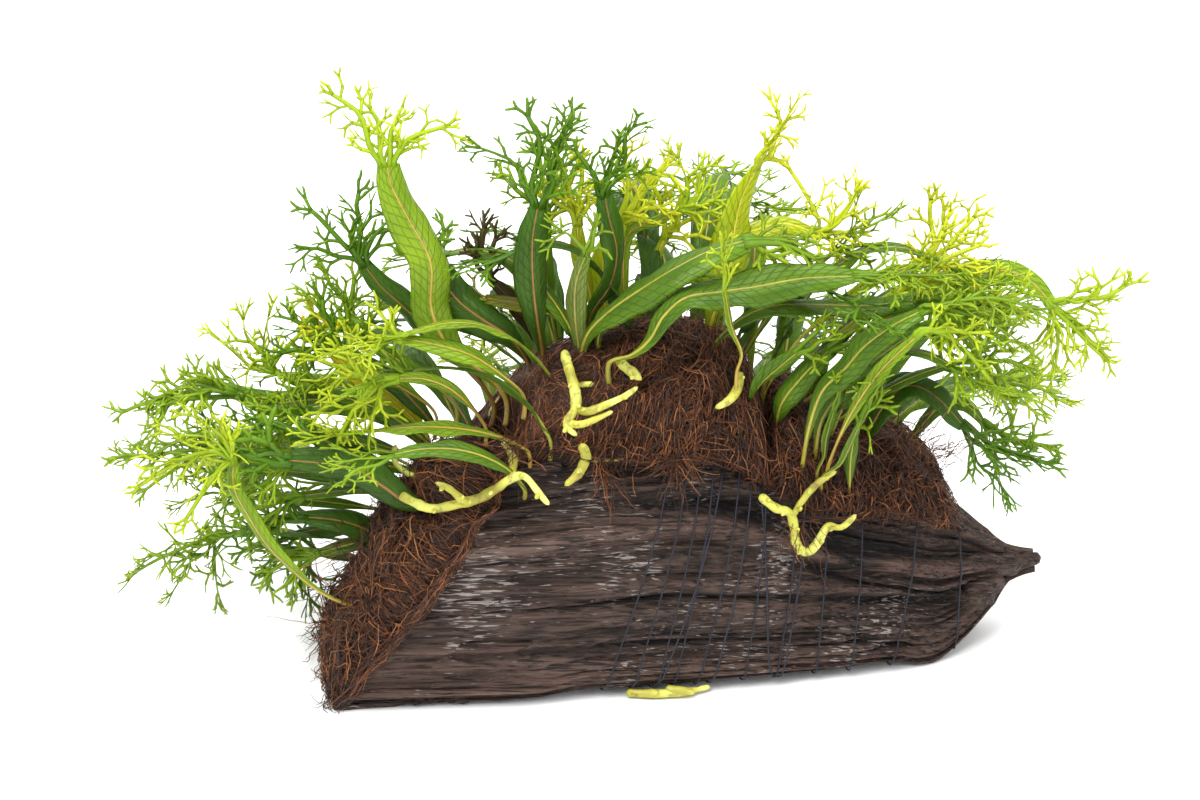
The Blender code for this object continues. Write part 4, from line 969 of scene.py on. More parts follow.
# ---------------------------------------------------------------- the log
def log_points(along, around, lift=0.0):
    """Points of the log's skin: along is the station in mm, around the place in LOG_SECTION, from 0 to 12. A
    station's ring is its section scaled to its own front, back, base and top, leaning along with height. lift
    moves a point out from the skin within its ring."""
    along, around, lift = np.broadcast_arrays(along, around, lift)
    shape = along.shape
    along, around, lift = along.ravel(), around.ravel(), lift.ravel()
    stations = LOG_STATIONS[:, 0]
    row = np.interp(along, stations, np.arange(len(stations)))
    lean, front, back, base, top = smooth_rows(LOG_STATIONS[:, 1:], row).T
    base = np.maximum(base, 0)

    def section(at):
        share = smooth_rows(LOG_SECTION, at, closed=True)
        across = (front + back) / 2 + (back - front) / 2 * share[:, 0]
        return np.stack([across, base + (top - base) * np.maximum(share[:, 1], 0)], axis=1)

    turning = unit(section(around + 0.05) - section(around - 0.05))
    across, height = (section(around) + np.stack([-turning[:, 1], turning[:, 0]], axis=1) * lift[:, None]).T
    s = along + lean * (height - base)
    x = s * math.cos(LOG_YAW) - across * math.sin(LOG_YAW)
    y = s * math.sin(LOG_YAW) + across * math.cos(LOG_YAW)
    return np.stack([x, y, height], axis=1).reshape(*shape, 3)


def grain_place(along, around):
    """How far across the grain a place of the log is, in mm: the grain bends a little along the log."""
    across = around * LOG_GIRTH
    return across + 2.4 * noise(along / 70, across / 30, 1) + 0.7 * noise(along / 24, across / 9,
        2) + along * 0.02


def wood_cracks(along, around):
    """1 in the middle of a long narrow crack of the wood, 0 off the cracks."""
    across = grain_place(along, around)
    seam = np.abs(noise(along / 120, across / 4.2, 7) - 0.5)
    return (1 - ease(0.0, 0.055, seam)) * ease(0.36, 0.50, noise(along / 50, across / 12, 8))


def wood_relief(along, around):
    """Height of the split wood over its smooth skin, in mm: terraces that run along the grain, ridged grain
    in three sizes, long narrow cracks, and a rotten hole near the right end."""
    across = grain_place(along, around)
    field = noise(along / 110, across / 6.5, 3) * 6.0
    terraces = (np.floor(field) + ease(0.86, 1.0, field - np.floor(field))) / 6.0
    coarse = 1 - np.abs(2 * noise(along / 80, across / 3.6, 4) - 1)
    middle = 1 - np.abs(2 * noise(along / 60, across / 1.7, 5) - 1)
    fine = noise(along / 34, across / 0.9, 6)
    chips = ease(0.60, 0.66, noise(along / 26, across / 1.5, 9))
    grain = 1.5 * (coarse - 0.5) + 1.2 * (middle - 0.5) + 0.7 * (fine - 0.5) - 0.6 * chips
    hole = np.exp(-(((along - HOLE[0]) / HOLE[2]) ** 2) - ((around - HOLE[1]) / HOLE[3]) ** 2)
    return 4.6 * (terraces - 0.62) + grain - 2.6 * wood_cracks(along, around) - HOLE[4] * ease(0.35, 0.6,
        hole)


def off_the_saw(along):
    """The share of the wood's relief that is left near the sawn end, where the saw has worn it flat."""
    return 0.15 + 0.85 * ease(-90, -84, along)


def make_log(wood):
    """The log: a grid along it and round it, finest on its front, with the relief faded out at the sawn end
    and where it stands; splinters carry on from its right end."""
    along = np.linspace(LOG_STATIONS[0, 0], LOG_STATIONS[-1, 0], LOG_ROWS)[:, None]
    front = np.linspace(0, LOG_FRONT, LOG_FRONT_COLUMNS, endpoint=False)
    rest = np.linspace(LOG_FRONT, LOG_TURN, LOG_BACK_COLUMNS, endpoint=False)
    around = np.concatenate([front, rest])[None, :]
    relief = wood_relief(along, around)
    relief = relief * off_the_saw(along) * (1 - 0.45 * ease(94, 110, along))
    # Painted shade and light: the tint darkens the wood in its low relief and its cracks and lightens it on the
    # crests.
    painted_light_and_shade = (relief + 4.2) / 7.6 - 0.6 * wood_cracks(along, around)
    points = log_points(along, around, relief)
    points[..., 2] = np.maximum(points[..., 2], 0.0)
    rows, columns = points.shape[:2]
    skin = Skin()
    ends = [np.arange(columns)[None], np.arange(columns)[None, ::-1] + (rows - 1) * columns]
    tint = shaded(WOOD_STOPS, np.clip(painted_light_and_shade, 0, 1))
    end = ease(-86, -90, along)[..., None]
    tint = tint * (1 - 0.55 * end)
    skin.add(points, [grid_quads(rows, columns, closed=True)[:, ::-1], *ends], tint.reshape(-1, 3))
    for start, stop, wide, thick, seed in SPLINTERS:
        t = np.linspace(0, 1, 40)
        ends = log_points(np.array([start[0], stop[0]]), np.array([start[1], stop[1]]),
            np.array([start[2], stop[2]]))
        path = ends[0] * (1 - t[:, None]) + ends[1] * t[:,
            None] + np.array([0, 0, 1.2]) * np.sin(3.0 * t + seed)[:, None]
        taper = (1 - 0.45 * t) * np.sqrt(np.clip(1 - t**12, 0.002, 1))
        rough = 1 + 0.45 * (noise(t * 9, seed, 11) - 0.5)
        ring = rings(path[None], np.array([0.0, 0.3, 1.0]), (wide * taper * rough)[None],
            (thick * taper * rough)[None], 18)
        ripple = 0.30 * (noise(t[None, :, None] * 4, np.arange(18)[None, None, :] * 1.7, seed) - 0.5)
        ring = ring + ripple[..., None] * unit(ring - path[None, :, None])
        # Painted shade and light: each splinter's tint follows its ripple, darker where the surface dips and lighter
        # where it swells.
        skin.add_rings(ring, shaded(WOOD_STOPS, 0.35 + ripple))
    skin.piece("soaked_log", "driftwood", [wood], ("driftwood",))


# ---------------------------------------------------------------- root mats
def mat_share(name, u, v):
    """How far from a mat's lowest front edge to its back edge a place is: its front edge is higher over some
    of the log than over the rest."""
    edge = np.interp(u, *MAT_EDGES[name])
    return edge + (1 - edge) * v


def mat_points(name, u, v, rise):
    """Points over a mat: u runs from its left end to its right, v from its front edge over the ridge to its
    back edge, and rise is the height over its skin. Past its edges the skin runs down to the wood."""
    (first, last), (front, back), (front_thick, left_thick, right_thick, back_thick) = MATS[name]
    held_u, held_v = np.clip(u, 0, 1), np.clip(v, 0, 1)
    hill = np.sqrt(1 - np.abs(2 * held_u - 1) ** 5) * np.sqrt(1 - np.clip(2 * held_v - 1, 0, 1) ** 6)
    hill = hill * ease(-0.08, 0.16, held_v)
    ridge = left_thick + (right_thick - left_thick) * held_u
    share = mat_share(name, held_u, v)
    edge = np.where(share < 0.45, front_thick, back_thick)
    body = edge + (ridge - edge) * np.interp(share, (0, 0.45, 1), (0, 1, 0))
    beyond = np.hypot((u - held_u) * (last - first), (v - held_v) * (back - front) * LOG_GIRTH)
    lift = (MAT_GAP + 2.5) * (1 - ease(0, 8, beyond)) + body * hill
    along = first + (last - first) * u
    lean = np.interp(along, LOG_STATIONS[:, 0], LOG_STATIONS[:, 1])
    upright = along - MAT_UPRIGHT * lean * body * hill
    return log_points(upright, front + (back - front) * share, np.maximum(lift + rise, 0.35))


class SawnEnd:
    """The plane of the sawn end: its middle, the way it faces, two ways across it, and its outline as a
    distance from the middle for each angle."""

    def __init__(self):
        rim = log_points(LOG_STATIONS[0, 0], np.linspace(0, LOG_TURN, 121)[:-1])
        self.middle = rim.mean(axis=0)
        out = unit(np.cross(rim[50] - rim[0], rim[100] - rim[0]))
        self.out = out * -np.sign(out[0])
        self.up = unit(np.array([0, 0, 1.0]) - self.out * self.out[2])
        self.side = np.cross(self.up, self.out)
        offsets = rim - self.middle
        angle = np.arctan2(offsets @ self.up, offsets @ self.side)
        order = np.argsort(angle)
        self.angles = np.concatenate([angle[order] - 2 * math.pi, angle[order], angle[order] + 2 * math.pi])
        self.reaches = np.tile(np.linalg.norm(offsets, axis=1)[order], 3)

    def outline(self, angle):
        return np.interp(angle, self.angles, self.reaches)

    def dome(self, side, up, rise):
        """Points of the mat's dome over a place in the plane: thicker towards the top, falling to the rim."""
        angle = np.arctan2(up, side)
        reach = np.hypot(side, up) / self.outline(angle)
        height = (self.middle[2] + up * self.up[2]) / LOG_STATIONS[0, 5]
        thick = np.interp(height, (0, 1), END_MAT_THICK) * np.clip(1 - reach**2.9, 0, 1) ** 0.4
        flat = self.middle + side[..., None] * self.side + up[..., None] * self.up
        return flat + (thick + 0.6 + rise)[..., None] * self.out


def lumps(x, y, seed):
    """Uneven swelling of a mat, in mm."""
    return 3.4 * (noise(x / 13, y / 13, seed) - 0.62) + 2.2 * (noise(x / 5, y / 5, seed + 1) - 0.6)


def make_mat_cores(felt, end):
    """The dark body of each mat under its fibres: over the log a skin with lumps closed by an inner one, on
    the sawn end a dome of rings from the outline to the middle."""
    for name in MATS:
        (first, last), (front, back), _ = MATS[name]
        u, v = np.linspace(0, 1, FELT_ROWS)[:, None], np.linspace(0, 1, FELT_COLUMNS)[None, :]
        swell = lumps(u * (last - first), v * (back - front) * LOG_GIRTH, 21) - 1.2
        swell = swell - FELT_PARTED * crowded(mat_points(name, u, v, swell))
        held = np.clip(np.minimum(np.minimum(u, 1 - u) * 12, np.minimum(v, 1 - v) * 10), 0, 1)
        outer = mat_points(name, u, v, swell * held)
        inner = log_points(first + (last - first) * u, front + (back - front) * mat_share(name, u, v), 0.4)
        inside = FELT_ROWS * FELT_COLUMNS
        quads = grid_quads(FELT_ROWS, FELT_COLUMNS)
        top, under = quads[:, ::-1], quads + inside
        index = np.arange(inside).reshape(FELT_ROWS, FELT_COLUMNS)
        rim = np.concatenate([index[0, :-1], index[:-1, -1], index[-1, :0:-1], index[:0:-1, 0]])
        after = np.roll(rim, -1)
        wall = np.stack([rim, after, after + inside, rim + inside], axis=1)
        skin = Skin()
        skin.add(np.concatenate([outer.reshape(-1, 3), inner.reshape(-1, 3)]), [top, under, wall], FELT_TINT)
        skin.piece(name.replace("roots", "root_felt"), "root_fibre", [felt], (name,))
    turn = np.linspace(0, 0.985, DOME_ROWS)[:, None]
    angle = np.linspace(0, 2 * math.pi, DOME_SIDES, endpoint=False)[None]
    reach = (1 - turn) * end.outline(angle)
    side, up = reach * np.cos(angle), reach * np.sin(angle)
    swell = lumps(side + 60, up + 60, 25) * np.clip(turn * 8, 0, 1) - 0.8
    swell = swell - FELT_PARTED * crowded(end.dome(side, up, swell))
    dome = end.dome(side, up, swell)
    back = end.middle + (side[:1, :, None] * end.side + up[:1, :, None] * end.up) * 0.98 + end.out * 0.05
    points = np.concatenate([back, dome])
    points[..., 2] = np.maximum(points[..., 2], 0.1)
    skin = Skin()
    quads = grid_quads(DOME_ROWS + 1, DOME_SIDES, closed=True)
    side = np.arange(DOME_SIDES)[None]
    skin.add(points, [quads, side[:, ::-1], side + DOME_ROWS * DOME_SIDES], FELT_TINT)
    skin.piece("root_felt_end", "root_fibre", [felt], ("roots_on_sawn_end",))


def wander(rng, starts, lengths, curl, way=None):
    """Lines in a plane that drift from side to side: each starts somewhere, heads some way, and its heading
    changes a little at each of its points. Returns places, lines by FIBRE_POINTS by 2, in mm."""
    count = len(starts)
    heading = rng.uniform(0, 2 * math.pi, count) if way is None else way
    turns = np.cumsum(rng.normal(0, curl, (count, FIBRE_POINTS - 1)), axis=1) + heading[:, None]
    steps = np.stack([np.cos(turns), np.sin(turns)], axis=2) * (lengths / (FIBRE_POINTS - 1))[:, None, None]
    steps = np.concatenate([np.zeros((count, 1, 2)), np.cumsum(steps, axis=1)], axis=1)
    return starts[:, None] + steps


def rises(rng, count, loose):
    """How far each point of each fibre stands off the mat. Most dive in at both ends; a loose one's end stands up."""
    t = np.linspace(0, 1, FIBRE_POINTS)[None]
    base = rng.uniform(-1.6, 1.5, (count, 1)) + rng.uniform(0.2, 2.6, (count, 1)) * np.sin(math.pi * t) - 0.6
    free = (rng.random((count, 1)) < loose) * rng.uniform(2, 8, (count, 1))
    return base + free * t**2 + rng.normal(0, 0.22, (count, FIBRE_POINTS))


def add_fibres(skin, rng, paths, thick=1.0):
    """Three-sided tubes along the paths, thin at both ends, each with its own rust or dark brown."""
    count = len(paths)
    t = np.linspace(0, 1, paths.shape[1])[None]
    radius = rng.uniform(0.10, 0.19, (count, 1)) * thick * (0.35 + 0.65 * np.sin(math.pi * (0.08 + 0.86 * t)))
    ring = rings(paths, np.array([0.31, 0.52, 0.80]), radius, radius, 3)
    pick = rng.random(count) ** 1.25
    tint = shaded(ROOT_STOPS, pick)[:, None, None]
    skin.add_rings(ring, tint)


def mat_fibres(name, rng, count, v_share, loose):
    """Paths of fibres over a mat, spread evenly over it and a little past its edges. A fibre's steps are
    drawn in mm and divided by how far the mat's skin stretches each way where the fibre starts."""
    (first, last), (front, back), _ = MATS[name]
    size = np.array([last - first, (back - front) * LOG_GIRTH])
    tries = rng.uniform((-0.01, v_share[0]), (1.01, v_share[1]), (3 * count, 2))
    u, v = tries.T
    here = mat_points(name, u, v, 0.0)
    small = 0.004
    stretch_u = np.linalg.norm(mat_points(name, u + small, v, 0.0) - here, axis=1) / (small * size[0])
    stretch_v = np.linalg.norm(mat_points(name, u, v + small, 0.0) - here, axis=1) / (small * size[1])
    room = stretch_u * stretch_v
    chosen = np.argsort(rng.random(3 * count) ** (1 / np.maximum(room, 0.05)))[-count:]
    stretch = np.stack([stretch_u, stretch_v], axis=1)[chosen, None].clip(0.6, 4.0)
    places = wander(rng, np.zeros((count, 2)), rng.uniform(8, 27, count),
        0.50) / stretch + (tries[chosen] * size)[:, None]
    held = np.clip(places, 0, size)
    past = places - held
    places = held + past / np.maximum(np.abs(past), 1e-6) * FRINGE * np.tanh(np.abs(past) / FRINGE)
    u, v = places[..., 0] / size[0], places[..., 1] / size[1]
    swell = lumps(u * size[0], v * size[1],
        21) * np.clip(np.minimum(np.minimum(u, 1 - u), np.minimum(v, 1 - v)) * 10, 0, 1)
    rise = swell + rises(rng, count, loose)
    return mat_points(name, u, v, rise - PARTED * crowded(mat_points(name, u, v, rise)))


def crowded(points):
    """1 on a rhizome, falling to 0 at 5 mm from it, for points of any shape."""
    flat = points.reshape(-1, 3)
    nearest = np.full(len(flat), 99.0)
    for line in RHIZOME_LINES:
        for spot in line:
            np.minimum(nearest, np.abs(flat - spot).max(axis=1), out=nearest)
    return 1 - ease(1.6, 5.0, nearest).reshape(points.shape[:-1])


def hanging_fibres(name, rng, count):
    """Paths of fibres that hang from a mat's front edge down over the wood."""
    (first, last), (front, back), _ = MATS[name]
    size = np.array([last - first, (back - front) * LOG_GIRTH])
    starts = rng.uniform((0.02, -0.01), (0.98, 0.12), (count, 2)) * size
    thick = noise(starts[:, 0] / 7, 0.0, 26)
    reach = rng.uniform(3, 7, count) + 15 * np.clip(thick - 0.35, 0, 1) * rng.random(count)
    places = wander(rng, starts, reach, 0.30, rng.normal(-math.pi / 2, 0.55, count))
    u, v = places[..., 0] / size[0], places[..., 1] / size[1]
    t = np.linspace(0, 1, FIBRE_POINTS)[None]
    rise = rng.uniform(-0.5, 1.5, (count, 1)) * (1 - t) + rng.uniform(0, 3.0,
        (count, 1)) * np.sin(math.pi * t)
    return mat_points(name, u, v, rise)


def make_fibres(fibre, end):
    """The fibres of the three mats, in several pieces, and the stray hairs round them."""
    rng = np.random.default_rng(31)
    for piece, name, count, v_share, loose in FIBRE_PIECES:
        skin = Skin()
        add_fibres(skin, rng, mat_fibres(name, rng, count, v_share, loose))
        skin.piece(piece, "root_fibre", [fibre])
    skin = Skin()
    count = END_FIBRES
    angle = rng.uniform(0, 2 * math.pi, count)
    reach = end.outline(angle) * np.sqrt(rng.random(count)) * 1.02
    starts = np.stack([reach * np.cos(angle), reach * np.sin(angle)], axis=1)
    places = wander(rng, starts, rng.uniform(8, 26, count), 0.42)
    angle = np.arctan2(places[..., 1], places[..., 0])
    reach = np.linalg.norm(places, axis=2) / end.outline(angle)
    places = places * (np.minimum(reach, 0.94 + 0.12 * np.tanh((reach - 0.94) / 0.12)) / reach)[..., None]
    swell = lumps(places[..., 0] + 60, places[..., 1] + 60, 25)
    rise = swell * 0.8 + rises(rng, count, 0.12)
    rise = rise - PARTED * crowded(end.dome(places[..., 0], places[..., 1], rise))
    paths = end.dome(places[..., 0], places[..., 1], rise)
    paths[..., 2] = np.maximum(paths[..., 2], 0.3)
    add_fibres(skin, rng, paths)
    skin.piece("root_fibres_end", "root_fibre", [fibre])
    skin = Skin()
    for name, count in HANGING:
        add_fibres(skin, rng, hanging_fibres(name, rng, count))
    for x, height, depth, reach, away, count in STRAYS:
        starts = pin(np.array([(x, height, depth)])) + rng.normal(0, 2.2, (count, 3))
        t = np.linspace(0, 1, FIBRE_POINTS)[None, :, None]
        ways = np.array(away) + rng.normal(0, 0.45, (count, 3))
        curve = rng.normal(0, 0.35, (count, 3))[:, None]
        lengths = rng.uniform(0.45, 1.0, (count, 1, 1)) * reach
        paths = starts[:, None] + lengths * (ways[:, None] * t + curve * t**2)
        paths[..., 2] = np.maximum(paths[..., 2], 0.25)
        add_fibres(skin, rng, paths + rng.normal(0, 0.15, paths.shape), 0.85)
    skin.piece("root_hairs", "root_fibre", [fibre])


# ---------------------------------------------------------------- rhizomes and thread
def tree_of(name):
    """A CAD piece's faces, for finding what is near a point. Metres in the frame."""
    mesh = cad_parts[name].data
    return BVHTree.FromPolygons([v.co for v in mesh.vertices], [list(p.vertices) for p in mesh.polygons])


def to_frame(point):
    return (point - ORIGIN) * MM


def from_frame(point):
    return np.array(point) / MM + ORIGIN


def laid(places, radius, name):
    """The middle line of a rhizome's branch: where the eye meets the CAD piece at board places, and in by the
    rhizome's radius. A place where it passes by takes its distance from those beside it."""
    fine, _ = even_path(np.array([(x, h, 0.0) for x, h in places]), np.linspace(0, 1, 4 * len(places)))
    tree = tree_of(name)
    ways = unit(pin(fine) - EYE)
    far = np.array([tree.ray_cast(to_frame(EYE), way)[3] or 0.0 for way in ways]) / MM
    met = far > 0
    row = np.arange(len(far))
    far = np.interp(row, row[met], far[met])
    for _ in range(4):
        far[1:-1] = 0.5 * far[1:-1] + 0.25 * (far[:-2] + far[2:])
    return EYE + ways * (far + radius * 0.7)[:, None]


def add_rhizome(skin, line, radius, seed, tip=0.55):
    """A round knobby stem: its radius swells and narrows along it, and its end is blunt."""
    rows = max(12, int(np.linalg.norm(np.diff(line, axis=0), axis=1).sum() / 0.6))
    path, length = even_path(line, np.linspace(0, 1, rows))
    run = np.linspace(0, length, rows)
    knobs = 1 + 0.34 * (noise(run / 3.4, seed * 3.1, 41)
        - 0.5) + 0.16 * (noise(run / 1.3, seed * 1.7, 42) - 0.5)
    blunt = np.sqrt(np.clip(1 - (1 - np.clip(run / radius, 0, 1)) ** 2, 0.02, 1))
    blunt = blunt * np.sqrt(np.clip(1 - (1 - np.clip((length - run) / radius, 0, 1)) ** 2, 0.02, 1))
    taper = 1 - (1 - tip) * ease(length * 0.55, length, run)
    size = (radius * knobs * blunt * taper)[None]
    ring = rings(path[None], np.array([0.2, 0.3, 0.9]), size, size, RHIZOME_SIDES)
    spots = np.arange(RHIZOME_SIDES)[None, None, :]
    dents = 1 + 0.16 * (noise(run[None, :, None] / 2.0, spots * 0.9 + seed, 43) - 0.5)
    ring = path[None, :, None] + (ring - path[None, :, None]) * dents[..., None]
    share = np.clip(0.5 + 0.9 * (noise(run / 6.0, seed * 2.3, 44) - 0.5)
        + 0.35 * ease(length * 0.7, length, run), 0, 1)
    skin.add_rings(ring, shaded(RHIZOME_STOPS, share)[None, :, None])


def rhizome_lines(name):
    """The middle lines of a rhizome's branches. Each after the first starts on the first."""
    radius, *branches = RHIZOMES[name]
    lines = [laid(places, radius, name) for places in branches]
    for line in lines[1:]:
        line[0] = lines[0][np.argmin(np.linalg.norm(lines[0] - line[0], axis=1))]
    return lines


def make_rhizomes(stem):
    for seed, name in enumerate(RHIZOMES):
        radius = RHIZOMES[name][0]
        skin = Skin()
        for k, line in enumerate(rhizome_lines(name)):
            add_rhizome(skin, line + LIFTED, radius * (0.56 if k else 0.76), seed * 5 + k)
            for spot in range(2, len(line) - 2, 6):
                side = (1, 1, 1) if spot % 4 else (-1, 1, -0.4)
                bud = line[spot] + LIFTED + np.array([[0, 0, 0], [0.6, -1.0, 0.4], [1.2, -2.0, 1.3]]) * side
                add_rhizome(skin, bud, radius * 0.36, seed * 5 + spot)
        skin.piece(name.replace("rhizome", "stem"), "rhizome", [stem], (name,))
    skin = Skin()
    for places in UNDER_STEMS:
        line = np.array(places, float)
        along, across = line[:, 0], line[:, 1]
        cos, sin = math.cos(LOG_YAW), math.sin(LOG_YAW)
        line = np.stack([along * cos - across * sin, along * sin + across * cos, line[:, 2]], axis=1)
        add_rhizome(skin, line + np.array([0, 0, 0.15]), 1.2, 77)
    skin.piece("stem_under", "rhizome", [stem], ("rhizome_under",))
    skin = Skin()
    for k, (size, places) in enumerate(CUT_STALKS):
        line = pin(np.array(places, float))
        add_rhizome(skin, line, size, 60 + k, tip=0.8)
    skin.piece("cut_stalks", "rhizome", [stem])


def thread_line(stations, places):
    """A taut line over the wood: it stands off the skin by the highest relief near it."""
    lift = wood_relief(stations, places) * off_the_saw(stations)
    high = np.max([np.roll(lift, k) for k in (-2, -1, 0, 1, 2)], axis=0)
    even = np.mean([np.roll(high, k) for k in (-2, -1, 0, 1, 2)], axis=0)
    path = log_points(stations, places, np.maximum(even, -0.4) + 0.25)
    path[:, 2] = np.maximum(path[:, 2], 0.25)
    return path


def make_thread(cotton):
    """The binding: turns that pass under the log and over its ridge by turns, with a few across them."""
    skin = Skin()
    for k, (here, there) in enumerate(zip(THREAD_PASSES[:-1], THREAD_PASSES[1:])):
        start = UNDER if k % 2 == 0 else RIDGE
        stop = RIDGE if k % 2 == 0 else UNDER + LOG_TURN
        t = np.linspace(0, 1, 90)
        add_thread(skin, thread_line(here + (there - here) * (3 * t**2 - 2 * t**3),
            start + (stop - start) * t))
    for here, there in CROSSINGS:
        t = np.linspace(0, 1, 60)
        add_thread(skin, thread_line(here + (there - here) * t, 4.3 - 5.0 * t))
    skin.piece("binding_thread", "thread", [cotton], ("thread",))


def add_thread(skin, line):
    run = np.concatenate([[0], np.cumsum(np.linalg.norm(np.diff(line, axis=0), axis=1))])
    size = np.full((1, len(line)), THREAD_RADIUS)
    ring = rings(line[None], np.array([1.0, 0.1, 0.2]), size, size, 6)
    place = np.zeros((1, len(line), 6, 2))
    place[..., 0] = np.arange(6) / 6
    place[..., 1] = run[None, :, None] / 100
    skin.add_rings(ring, (0.01, 0.01, 0.02), place)


# ---------------------------------------------------------------- leaves
def turned(ways, axes, angles):
    """Ways turned about unit axes at right angles to them."""
    return ways * np.cos(angles)[..., None] + np.cross(axes, ways) * np.sin(angles)[..., None]


def squared(looks, ways):
    """looks made to stand at right angles to ways."""
    return unit(looks - ways * along_last(looks, ways))


def add_straps(skin, paths, looks, half_wide, tints):
    """Narrow lens-shaped straps along paths, half_wide mm to each side of their middle and facing looks."""
    forward = unit(np.gradient(paths, axis=1))
    across = np.cross(forward, squared(looks[:, None], forward))
    ring = rings(paths, across[:, :1], half_wide, half_wide * 0.20 + 0.13, 4)
    place = np.zeros((*ring.shape[:3], 2))
    place[..., 0] = 0.5
    skin.add_rings(ring, tints[:, :, None], place)


def bent(starts, ways, looks, lengths, turns, lifts, rows):
    """Paths that set off along ways and turn a little across and along their looks: a parabola each."""
    t = np.linspace(0, 1, rows)[None, :, None]
    ends = unit(turned(ways, looks, turns) + looks * lifts[:, None])
    length = lengths[:, None, None]
    return starts[:, None] + length * (ways[:, None] * (t - t**2 / 2) + ends[:, None] * t**2 / 2), ends


def add_forks(skin, rng, starts, ways, looks, half_wide, lengths, levels, colours):
    """Straps that fork and fork again: from the end of each, two narrower and shorter ones part at 17 to 40
    degrees to each side, and here and there one or both are missing. colours is (start colour, tip
    colour)."""
    for level in range(levels):
        count = len(starts)
        if not count:
            return
        paths, ends = bent(starts, ways, looks, lengths, rng.normal(0, 0.30, count),
            rng.normal(0, 0.26, count), 4)
        last = level == levels - 1
        taper = np.array([1.05, 0.80, 0.85, 0.45 if last else 1.0])[None]
        share = (level + np.linspace(0, 1, 4)[None, :, None]) / levels
        tints = colours[0] * (1 - share) + colours[1] * share
        tints = tints * rng.uniform(0.80, 1.15, (count, 1, 1))
        add_straps(skin, paths, looks, half_wide[:, None] * taper, tints)
        parting = np.radians(rng.uniform(17, 40, (2, count))) * np.array([[1], [-1]])
        axes = squared(looks + rng.normal(0, 0.30, (count, 3)), ends)
        kept = rng.random((2, count)) < np.array([[0.97], [0.86]])
        kept = kept[rng.permutation(2)]
        starts = np.concatenate([paths[kept[k], -1] - ends[kept[k]] * 0.25 for k in (0, 1)])
        ways = np.concatenate([turned(ends, axes, parting[k])[kept[k]] for k in (0, 1)])
        looks = squared(np.concatenate([axes[kept[k]] for k in (0, 1)]), ways)
        half_wide = np.concatenate([half_wide[kept[k]] for k in (0, 1)]) * rng.uniform(0.76, 0.92,
            len(starts))
        lengths = np.concatenate([lengths[kept[k]] for k in (0, 1)]) * rng.uniform(0.62, 1.02, len(starts))
        half_wide = np.maximum(half_wide, THINNEST_STRAP)


def add_crest(skin, rng, neck, ahead, look, half, tips, colours, apart):
    """The divided end of a leaf: an arm from the neck to each tip, with straps that fork off its two sides by
    turns and from its end."""
    count = len(tips)
    side = unit(np.cross(ahead, look))
    spread = tips - neck
    order = np.argsort(spread @ side)
    tips, spread = tips[order], spread[order]
    reach = np.linalg.norm(spread, axis=1)
    roots = neck + side * half * ((2 * np.arange(count) + 1) / count - 1)[:, None] * 0.7 - ahead * 0.6
    t = np.linspace(0, 1, 9)[None, :, None]
    bend = roots + ahead * 0.42 * reach[:, None]
    arms = (1 - t) ** 2 * roots[:, None] + 2 * t * (1 - t) * bend[:, None] + t**2 * tips[:, None]
    sway = rng.normal(0, 0.05, (count, 1, 3)) * reach[:, None,
        None] * np.sin(2 * math.pi * t + rng.uniform(0, 6))
    arms = arms + sway * t * (1 - t) * 4
    forward = unit(np.gradient(arms, axis=1))
    looks = squared(look + rng.normal(0, 0.2, (count, 3)), forward[:, 4])
    start_half = max(0.95, min(1.9, half / count * 1.25))
    wide = start_half + (0.66 - start_half) * np.linspace(0, 1, 9)[None] ** 0.8
    share = np.linspace(0, 0.55, 9)[None, :, None]
    tints = np.broadcast_to(colours[0] * (1 - share) + colours[1] * share, (count, 9, 3))
    add_straps(skin, arms, looks, wide, tints)
    mid = colours[0] * 0.6 + colours[1] * 0.4
    for arm in range(count):
        number = max(2, int(reach[arm] / apart))
        place = np.linspace(0.16, 0.93, number) + rng.normal(0, 0.02, number)
        row = np.clip(place, 0, 1) * 8
        starts = smooth_rows(arms[arm], row)
        ways = unit(smooth_rows(forward[arm], row))
        turn = np.radians(rng.uniform(28, 58, number)) * np.where(np.arange(number) % 2, 1, -1)
        axes = squared(looks[arm] + rng.normal(0, 0.35, (number, 3)), ways)
        out = turned(ways, axes, turn)
        length = rng.uniform(3.2, 5.6, number) * (1.1 - 0.35 * place)
        width = np.interp(row, np.arange(9), wide[0]) * rng.uniform(0.66, 0.88, number)
        add_forks(skin, rng, starts, out, squared(axes, out), width, length, SIDE_FORKS, (mid, colours[1]))
    ends = forward[:, -1]
    parting = np.radians(rng.uniform(14, 30, (2, count))) * np.array([[1], [-1]])
    axes = squared(looks, ends)
    ways = np.concatenate([turned(ends, axes, parting[k]) for k in (0, 1)])
    axes = squared(np.concatenate([axes, axes]), ways)
    starts = np.concatenate([arms[:, -1]] * 2)
    sizes = np.full(2 * count, 0.58)
    add_forks(skin, rng, starts, ways, axes, sizes, rng.uniform(2.4, 4.2, 2 * count), END_FORKS,
        (mid, colours[1]))


